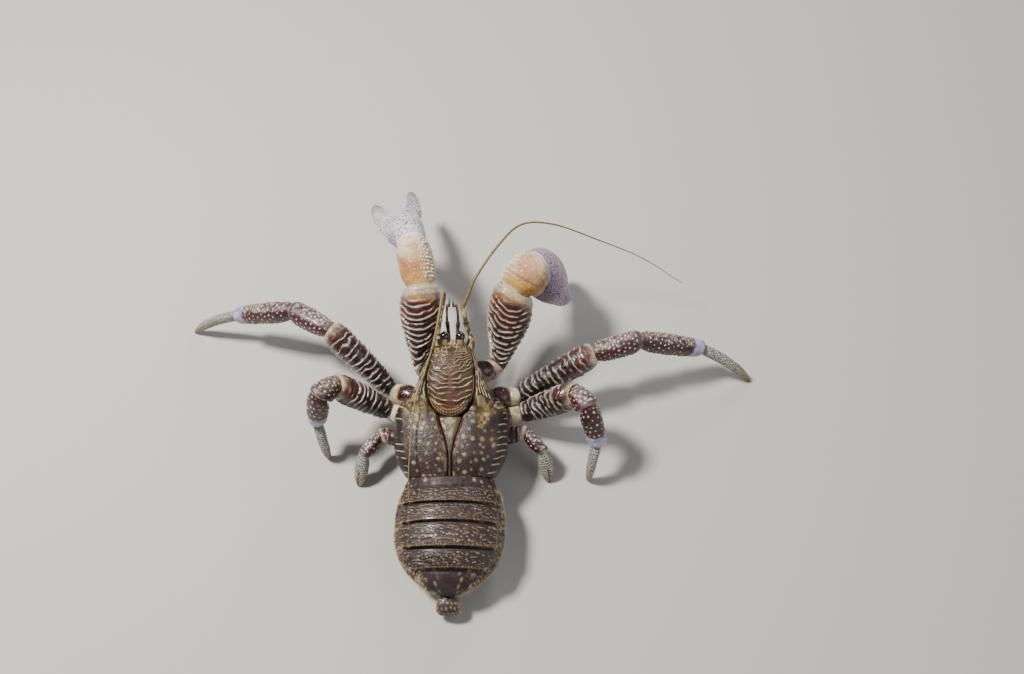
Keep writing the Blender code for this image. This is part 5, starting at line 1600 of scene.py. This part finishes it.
def smooth_line(points, count):
    """Evenly numbered points on a smooth curve through the given ones."""
    p = np.array(points, float)
    ends = np.vstack([2 * p[0] - p[1], p, 2 * p[-1] - p[-2]])
    s = np.linspace(0, len(p) - 1, count)
    i = np.minimum(s.astype(int), len(p) - 2)
    s = (s - i)[:, None]
    p0, p1, p2, p3 = (ends[i + k] for k in range(4))
    square, cube = 2 * p0 - 5 * p1 + 4 * p2 - p3, 3 * p1 - p0 - 3 * p2 + p3
    return 0.5 * (2 * p1 + (p2 - p0) * s + square * s**2 + cube * s**3)


def rod(points, radii, count, columns, flatness=1.0):
    """Rows round a bent rod, the share of its length at each row and the angle of each point."""
    path = smooth_line(points, count)
    tangents = unit(np.gradient(path, axis=0))
    up = UP
    ups = []
    for tangent in tangents:
        up = unit(up - tangent * (up @ tangent))
        ups.append(up)
    t = column(0, 1, count)
    radius = table(radii, t[:, 0])
    rows, angle = oval_rows(path, tangents, np.array(ups), radius, radius * flatness, columns, 2.0)
    return Hand(rows, angle, t, np.linalg.norm(np.diff(path, axis=0), axis=1).sum())


tail = rod([(0, -74.5, 10.4), (0, -78.6, 9.0), (0, -79.6, 5.0), (0, -76.4, 1.9)],
           [(0, 4.2), (0.3, 5.4), (0.65, 5.0), (0.9, 3.2), (1.0, 1.4)], 60, 80, 0.42)
edge = np.abs(np.cos(tail.angle)) ** 6
stand, pale = knobs(tail, 1.6, 0.6, 0.18, 77)
fields = {"pale": 0.5 * pale + 0.4 * edge, "tuft": edge, "dark": 0.0}
tail_piece = surface("tail_fan_plate", tail.raised(stand), fields, SHELL["back"], FLAT, TIP, 0, 0.6)
dressed(tail_piece, "tail_fan")
print("tail faces:", len(tail_piece.data.polygons))

# %% [markdown]
# ## Underside
#
# The limbs spring from a keel of pale plates under the body. It's seen only from low down, so it keeps
# its solid's simple form, with a groove between each pair of limbs and a line down the middle.

# %% Underside of head and thorax
BELLY_DEPTH = 24.0
BELLY = [
    # y, half width at the shoulder, half width of the keel, depth
    (-THORAX_LENGTH, 18.5, 12.5, 20.0),
    (-18, 21.0, 13.5, 22.5),
    (-5, 22.5, 13.0, BELLY_DEPTH),
    (6, 20.5, 12.0, BELLY_DEPTH),
    (16, 14.5, 10.0, 23.5),
    (25, 10.5, 8.0, 22.5),
    (31, 7.8, 6.0, 21.0),
    (33.5, 6.0, 4.5, 18.5),
]
y = column(BELLY[0][0], BELLY[-1][0], 120)
shoulder, keel, depth = np.split(table(BELLY, y[:, 0]), 3, axis=1)
ceiling = PLATE_FLOOR - GAP
corners_x = [keel * 0.6, keel, 0.4 * keel + 0.6 * shoulder + 1, shoulder, shoulder]
corners_z = [-depth, -depth + 1.4, -0.86 * depth, -0.72 * depth, ceiling + 0 * y]
stations = np.linspace(0, 4, 56)
half_x, half_z = (
    np.stack([np.interp(stations, range(5), [c[r, 0] for c in corners]) for r in range(len(y))])
    for corners in (corners_x, corners_z)
)
inner_x = np.linspace(0, 1, 14)[None, :-1] * half_x[:, :1]
half_x = beside(inner_x, half_x)
half_z = beside(half_z[:, :1] + 0 * inner_x, half_z)
x = beside(half_x, -half_x[:, :0:-1])
z = beside(half_z, half_z[:, :0:-1])
seam = np.exp(-((np.remainder(y + 5.0, 10.5) - 5.2) ** 2) / 0.35) + 0.7 * peak(x, 0, 0.6)
low = ease(-z, 15.0, 19.0)
flat = np.stack([x, y + 0 * x, z], -1)
z = z + (0.7 * seam + 0.35 * clouds(flat, 3.0, 44)) * low
fields = {"dark": np.clip(0.6 * seam * low, 0, 1), "pale": 0.3 * patches(flat, 5.0, 45, 0.4, 0.7)}
underside = surface("underside", body(x, y, z), fields, BELLY_SKIN)
dressed(underside, "thorax_underside")
print("underside faces:", len(underside.data.polygons))

# %% [markdown]
# ## The head
#
# Two polished black eyes stand on short stalks under the brow. Between and beside them are thin jointed
# feelers. The outer pair has a stout stalk and a long whip, and folded mouthparts hang below.


# %% Eyes, short feelers, stalks and mouthparts
EYE_RADIUS, EYE_LENGTH = 2.25, 4.0


def eye(side_name, side):
    """A short stalk and the polished ball at its end."""
    root, tip = body(side * 3.4, 30.5, -9.8), body(side * 3.7, 37.6, -9.0)
    way = unit(tip - root)
    stalk = Segment((root, way), (tip, way), [(0, 1.9, 1.9), (0.6, 1.7, 1.7), (1, 1.9, 1.9)], (0.22, 0.22))
    # Paler along the top of the stalk and darker elsewhere: a painted highlight and painted shade.
    pale = ease(np.sin(stalk.angle), 0.2, 0.9) * ease(stalk.t, 0.3, 0.6)
    fields = {"pale": 0.22 * pale, "warm": 0.7, "dark": 0.5 * (1 - pale)}
    piece = surface(f"eye_stalk_{side_name}", stalk.points, fields, SHELL["head"], FLAT, HEAD, 0, 0.6)
    dressed(piece, f"eyestalk_{side_name}")
    t = column(0, 1, 34)
    angle = around(48)
    radius = EYE_RADIUS * np.sqrt(np.clip(1 - np.abs(2 * t * 0.98 - 0.8) ** 2.3 / 1.55, 0.02, 1))
    side_way = unit(np.cross(way, UP))
    over = np.cross(side_way, way)
    ring = side_way * np.cos(angle)[..., None] + over * np.sin(angle)[..., None]
    centre = tip + way * (GAP / 2 + EYE_LENGTH * t)
    points = centre[:, None] + ring * radius[..., None]
    ball = surface(f"eye_ball_{side_name}", points, {"pale": 0.0}, EYE_POLISH, FLAT, TIP, 0, 0.35)
    dressed(ball, f"eye_{side_name}")


ANTENNULE = ((1.9, 31.0, -14.5), (2.0, 40.0, -15.0), (2.6, 47.5, -8.0), (2.2, 52.0, -1.0), (1.0, 51.0, 3.6),
             (0.9, 54.5, 4.4))
ANTENNULE_RADII = [(0, 1.2), (0.28, 0.8), (0.36, 0.95), (0.4, 0.6), (0.6, 0.5), (0.66, 0.75),
                   (0.74, 0.45), (0.8, 0.45), (1, 0.2)]
STALK_ROOTS = {"left": (-6.2, 29.0, -14.5), "right": (5.6, 29.0, -14.5)}
STALKS = {
    "left": [(-7.2, 40.5, 38.8), (-6.3, 47.5, 44.4), (-4.4, 55.6, 49.4)],
    "right": [(8.6, 40.5, 37.0), (6.4, 48.0, 41.0), (4.9, 54.0, 44.5)],
}
STALK_RADII = [(0, 3.0), (0.25, 2.2), (0.37, 1.75), (0.42, 1.3), (0.66, 1.15), (0.7, 1.5), (0.74, 1.1),
               (0.95, 1.05), (1, 1.0)]
MAXILLIPED = ((3.6, 24.0, -20.0), (4.6, 33.0, -24.5), (4.4, 38.5, -22.5), (3.2, 39.5, -28.0), (2.4, 36, -32))
MAXILLIPED_RADII = [(0, 2.4), (0.25, 2.3), (0.46, 2.1), (0.5, 1.6), (0.72, 1.7), (0.76, 1.3), (1, 0.7)]


def head_rod(name, points, radii, seed, finish, rings=0.0):
    """A jointed feeler or mouthpart, with fine rings beyond its last joint where they are wanted."""
    part = rod(points, radii, 110, 44)
    grain = clouds(part.points * np.array((1, 1, 0.7)), 1.1, seed)
    joint = sum(peak(part.t, j, 0.012) for j in (0.39, 0.72))
    ring = rings * np.sin(part.t * part.length * 2 * math.pi / 0.8) * ease(part.t, 0.75, 0.8)
    fields = {
        "pale": np.clip(0.7 * ease(grain, 0.45, 0.7) + 0.4 * joint, 0, 1),
        "dark": 0.5 * ease(0.35 - grain, 0.0, 0.2),
        "cool": 0.4 * patches(part.points, 3.0, seed + 1, 0.5, 0.8),
        "tuft": ease(np.abs(np.cos(part.angle)), 0.7, 0.9),
    }
    stand = 0.12 * grain - 0.15 * joint + ring
    return surface(name, part.raised(stand), fields, finish, FLAT, TIP, 0, 0.4)


for side_name, side in SIDES.items():
    eye(side_name, side)
    short, mouth = ([body(side * px, py, pz) for px, py, pz in rows] for rows in (ANTENNULE, MAXILLIPED))
    stout = [body(*STALK_ROOTS[side_name]), *map(np.array, STALKS[side_name])]
    feeler = head_rod(f"short_feeler_{side_name}", short, ANTENNULE_RADII, 101, SHELL["feeler"], 0.05)
    dressed(feeler, f"antennule_{side_name}")
    stalk = head_rod(f"feeler_stalk_{side_name}", stout, STALK_RADII, 103, SHELL["head"])
    dressed(stalk, f"antenna_{side_name}_stalk")
    mouthpart = head_rod(f"mouthpart_{side_name}", mouth, MAXILLIPED_RADII, 105, SHELL["head"])
    dressed(mouthpart, f"maxilliped_{side_name}")
print("head pieces:", [n for n in pieces if "feeler" in n or "eye" in n or "mouth" in n])

# %% [markdown]
# ## The whips, by Geometry Nodes
#
# Each long feeler is a tapering whip of hundreds of tiny rings. A rule along a path is what Geometry
# Nodes do well: the curve is resampled at the ring's pitch, its radius falls from root to tip and rises
# on every other point, and a small circle is swept along it.

# %% A tree for ringed whips
WHIPS = {
    "left": [(-3.9, 58.0, 51.6), (-4.6, 56.0, 52.8), (-8.0, 36.0, 47.5), (-11.6, 20.5, 46.0),
             (-16, 5.0, 43.0), (-17.8, -22.5, 37.0), (-17.0, -40.0, 38.5)],
    "right": [(6.9, 58.8, 48.4), (11.1, 66.5, 54.0), (22, 81, 60.0), (33, 92.5, 60.5), (48.7, 95, 57.0),
              (68.7, 92.8, 48.5), (93.5, 89.0, 37.0), (114.3, 82.0, 25.0)],
}


class Tree(Graph):
    """A tree of Geometry Nodes with named inputs."""

    def __init__(self, name, inputs):
        super().__init__(bpy.data.node_groups.new(name, "GeometryNodeTree"))
        sockets = self.tree.interface
        sockets.new_socket("Geometry", in_out="INPUT", socket_type="NodeSocketGeometry")
        sockets.new_socket("Geometry", in_out="OUTPUT", socket_type="NodeSocketGeometry")
        self.keys = {}
        for label, kind in inputs.items():
            socket = sockets.new_socket(label, in_out="INPUT", socket_type=f"NodeSocket{kind}")
            self.keys[label] = socket.identifier
        self.given = self.tree.nodes.new("NodeGroupInput").outputs
        self.result = self.tree.nodes.new("NodeGroupOutput").inputs[0]

    def maths(self, operation, first, second, kind="ShaderNodeMath"):
        """The socket with a sum or product of two values."""
        return self.node(kind, {"operation": operation}, {0: first, 1: second}).outputs[0]

    def finish(self, geometry):
        """Realises what was made and gives it the material from the inputs."""
        real = self.node("GeometryNodeRealizeInstances", None, {0: geometry}).outputs[0]
        paints = {"Geometry": real, "Material": self.given["Material"]}
        painted = self.node("GeometryNodeSetMaterial", None, paints)
        self.tree.links.new(painted.outputs[0], self.result)

    def grown(self, host, name, **values):
        """A plain mesh of what the tree makes on a host."""
        change = host.modifiers.new("grow", "NODES")
        change.node_group = self.tree
        for label, value in values.items():
            change[self.keys[label.replace("_", " ")]] = value
        graph = bpy.context.evaluated_depsgraph_get()
        mesh = bpy.data.meshes.new_from_object(host.evaluated_get(graph))
        host.modifiers.remove(change)
        mesh.name = name
        pieces[name] = placed(name, mesh)
        return pieces[name]


PITCH, ROOT_RADIUS, TIP_RADIUS, RING_RISE = 0.33 * MM, 1.0 * MM, 0.16 * MM, 0.16
TAPER_POWER, WHIP_POINTS, ROOT_LENGTH = 0.45, 200, 1.2

inputs = {"Pitch": "Float", "Root": "Float", "Tip": "Float", "Ring": "Float", "Material": "Material"}
whip_tree = Tree("ringed_whip", inputs)
given, node, maths = whip_tree.given, whip_tree.node, whip_tree.maths
line = node("GeometryNodeMeshToCurve", None, {"Mesh": given["Geometry"]}).outputs[0]
even = node("GeometryNodeResampleCurve", {"mode": "LENGTH"}, {"Curve": line, "Length": given["Pitch"]})
share = node("GeometryNodeSplineParameter").outputs["Factor"]
number = node("GeometryNodeInputIndex").outputs[0]
reach = {"Value": maths("POWER", share, TAPER_POWER), "To Min": given["Root"], "To Max": given["Tip"]}
taper = node("ShaderNodeMapRange", {"clamp": True}, reach).outputs[0]
bulge = maths("MULTIPLY", maths("MODULO", number, 2.0), given["Ring"])
radius = maths("MULTIPLY", taper, maths("ADD", bulge, 1.0))
circle = node("GeometryNodeCurvePrimitiveCircle", None, {"Resolution": 10, "Radius": 1.0}).outputs[0]
swept = {"Curve": even.outputs[0], "Profile Curve": circle, "Scale": radius, "Fill Caps": True}
whip_tree.finish(node("GeometryNodeCurveToMesh", None, swept).outputs[0])

for side_name, points in WHIPS.items():
    path = bpy.data.meshes.new("path")
    before, end = map(np.array, STALKS[side_name][-2:])
    way = unit(end - before)
    start = end + way * GAP
    line = (smooth_line([start, start + way * ROOT_LENGTH, *points], WHIP_POINTS) + TO_ORIGIN) * MM
    path.from_pydata(line.tolist(), [(i, i + 1) for i in range(len(line) - 1)], [])
    host = placed("path", path)
    sizes = {"Pitch": PITCH, "Root": ROOT_RADIUS, "Tip": TIP_RADIUS, "Ring": RING_RISE}
    whip = whip_tree.grown(host, f"whip_{side_name}", **sizes, Material=WHIP_HORN)
    bpy.data.objects.remove(host)
    dressed(whip, f"antenna_{side_name}_whip")
print("whips:", [(n, len(o.data.polygons)) for n, o in pieces.items() if n.startswith("whip")])

# %% [markdown]
# ## Bristles, by Geometry Nodes
#
# Short stiff bristles stand in front of the ridges and knobs, and longer soft ones in tufts down the
# sides of the abdomen. Thousands of small things over a surface are scattered with Geometry Nodes: each
# one is a three-sided spike, set where the mask called tuft allows and leaning the way the limb points.
# All of a kind become one mesh, with a map that puts each spike at its root's place on the unrolled skin.

# %% A tree for bristles
numbers = {name: "Float" for name in ("Density", "Length", "Width", "Lean")}
bristle_tree = Tree("bristles", {**numbers, "Seed": "Int", "Material": "Material"})
given, node, maths = bristle_tree.given, bristle_tree.node, bristle_tree.maths
STRAY, SHORTEST, LONGEST = 0.3, 0.55, 1.25

mask, lay = (
    node("GeometryNodeInputNamedAttribute", {"data_type": kind}, {"Name": name}).outputs[0]
    for name, kind in (("tuft", "FLOAT"), ("lay", "FLOAT_VECTOR"))
)
thick = maths("MULTIPLY", mask, given["Density"])
spots = {"Mesh": given["Geometry"], "Density": thick, "Seed": given["Seed"]}
roots = node("GeometryNodeDistributePointsOnFaces", None, spots)
leaning = node("ShaderNodeVectorMath", {"operation": "SCALE"}, {0: lay, "Scale": given["Lean"]})
limits = {0: (-STRAY,) * 3, 1: (STRAY,) * 3, "Seed": given["Seed"]}
stray = node("FunctionNodeRandomValue", {"data_type": "FLOAT_VECTOR"}, limits)
way = maths("ADD", roots.outputs["Normal"], leaning.outputs[0], "ShaderNodeVectorMath")
way = maths("ADD", way, stray.outputs[0], "ShaderNodeVectorMath")
turned = node("FunctionNodeAlignRotationToVector", {"axis": "Z"}, {"Vector": way}).outputs[0]
cone = {"Vertices": 3, "Radius Top": 0.0, "Radius Bottom": given["Width"], "Depth": given["Length"]}
spike = node("GeometryNodeMeshCone", {"fill_type": "NGON"}, cone).outputs["Mesh"]
size = node("FunctionNodeRandomValue", {"data_type": "FLOAT"}, {2: SHORTEST, 3: LONGEST}).outputs[1]
planted = {"Points": roots.outputs["Points"], "Instance": spike, "Rotation": turned, "Scale": size}
bristle_tree.finish(node("GeometryNodeInstanceOnPoints", None, planted).outputs[0])
print("the trees have", len(whip_tree.tree.nodes), "and", len(bristle_tree.tree.nodes), "nodes")


# %% Coats of bristles
SPIKE_POINTS = 4
PATCH = 0.003
COATS = {
    # slot and words in the names of the pieces, then the number to a square metre, length and width in
    # millimetres, lean, seed and horn
    "arm_and_leg_bristles": ("shell", "_arm _upper", 9e6, 0.75, 0.045, 1.0, 1, BRISTLE_HORN),
    "claw_bristles": ("claw", "_hand _finger _wrist", 2.5e6, 0.8, 0.045, 0.9, 5, DARK_BRISTLE),
    "foot_bristles": ("shell", "_middle _lower _toe _pincer", 1.6e6, 0.8, 0.045, 0.8, 2, DARK_BRISTLE),
    "abdomen_bristles": ("abdomen_skin", "abdomen tail back_plate", 2.2e6, 1.7, 0.055, 0.8, 3, BRISTLE_HORN),
    "head_bristles": ("shell", "feeler mouthpart", 3e6, 0.9, 0.04, 0.8, 4, BRISTLE_HORN),
}


def bristles(name, hosts, slot, **values):
    """One coat of spikes over several pieces, with its map of roots."""
    across = math.ceil(math.sqrt(len(hosts)))
    places, faces, roots = [], [], []
    for i, host in enumerate(hosts):
        grown = bristle_tree.grown(host, "grown", **values)
        mesh = grown.data
        count = len(mesh.vertices)
        co, face, root = np.zeros(count * 3), np.zeros(len(mesh.loops), int), np.zeros(count * 3)
        mesh.vertices.foreach_get("co", co)
        mesh.loops.foreach_get("vertex_index", face)
        if count:
            mesh.attributes["unrolled"].data.foreach_get("vector", root)
        faces.append(face.reshape(-1, 3) + sum(len(p) for p in places))
        places.append(co.reshape(-1, 3))
        roots.append((root.reshape(-1, 3)[:, :2] + (i % across, i // across)) / across)
        pieces.pop("grown")
        bpy.data.objects.remove(grown)
    places, faces, roots = (np.concatenate(part) for part in (places, faces, roots))
    mesh = bpy.data.meshes.new(name)
    mesh.from_pydata(places.tolist(), [], faces.tolist())
    corner = [(math.cos(a) / 2, math.sin(a) / 2) for a in (0, 2.1, 4.2)] + [(0, 0)]
    roots = roots + (np.array(corner) * PATCH)[np.arange(len(roots)) % SPIKE_POINTS]
    spread = roots[faces.ravel()].astype(np.float32).ravel()
    mesh.uv_layers.new(name="OFBake").data.foreach_set("uv", spread)
    mesh.materials.append(values["Material"])
    coat = placed(name, mesh)
    pieces[name] = coat
    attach(coat, "root")
    print(name, "has", len(faces) // SPIKE_POINTS, "bristles")


def tufted(words):
    """The pieces that have the tuft mask and any of these words in their names."""
    return [o for n, o in pieces.items() if "tuft" in o.data.attributes and any(w in n for w in words)]


for name, (slot, words, density, length, width, lean, seed, horn) in COATS.items():
    sizes = {"Density": density, "Length": length * MM, "Width": width * MM, "Lean": lean}
    bristles(name, tufted(words.split()), slot, **sizes, Seed=seed, Material=horn)

# %% [markdown]
# ## Size and finish
#
# The visible crab must keep the size of its solids, so both boxes are worked out and printed.

# %% Both boxes, and the end
seen_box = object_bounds()
boxes = {"solids": [list(map(float, c)) for c in cad_box], "visible": [list(map(float, c)) for c in seen_box]}
for label, (low, high) in boxes.items():
    print(label, [round(1000 * v, 1) for v in low], [round(1000 * v, 1) for v in high])
print("triangles:", sum(sum(len(p.vertices) - 2 for p in o.data.polygons) for o in pieces.values()))
print("largest:", sorted(((len(o.data.polygons), n) for n, o in pieces.items()), reverse=True)[:4])
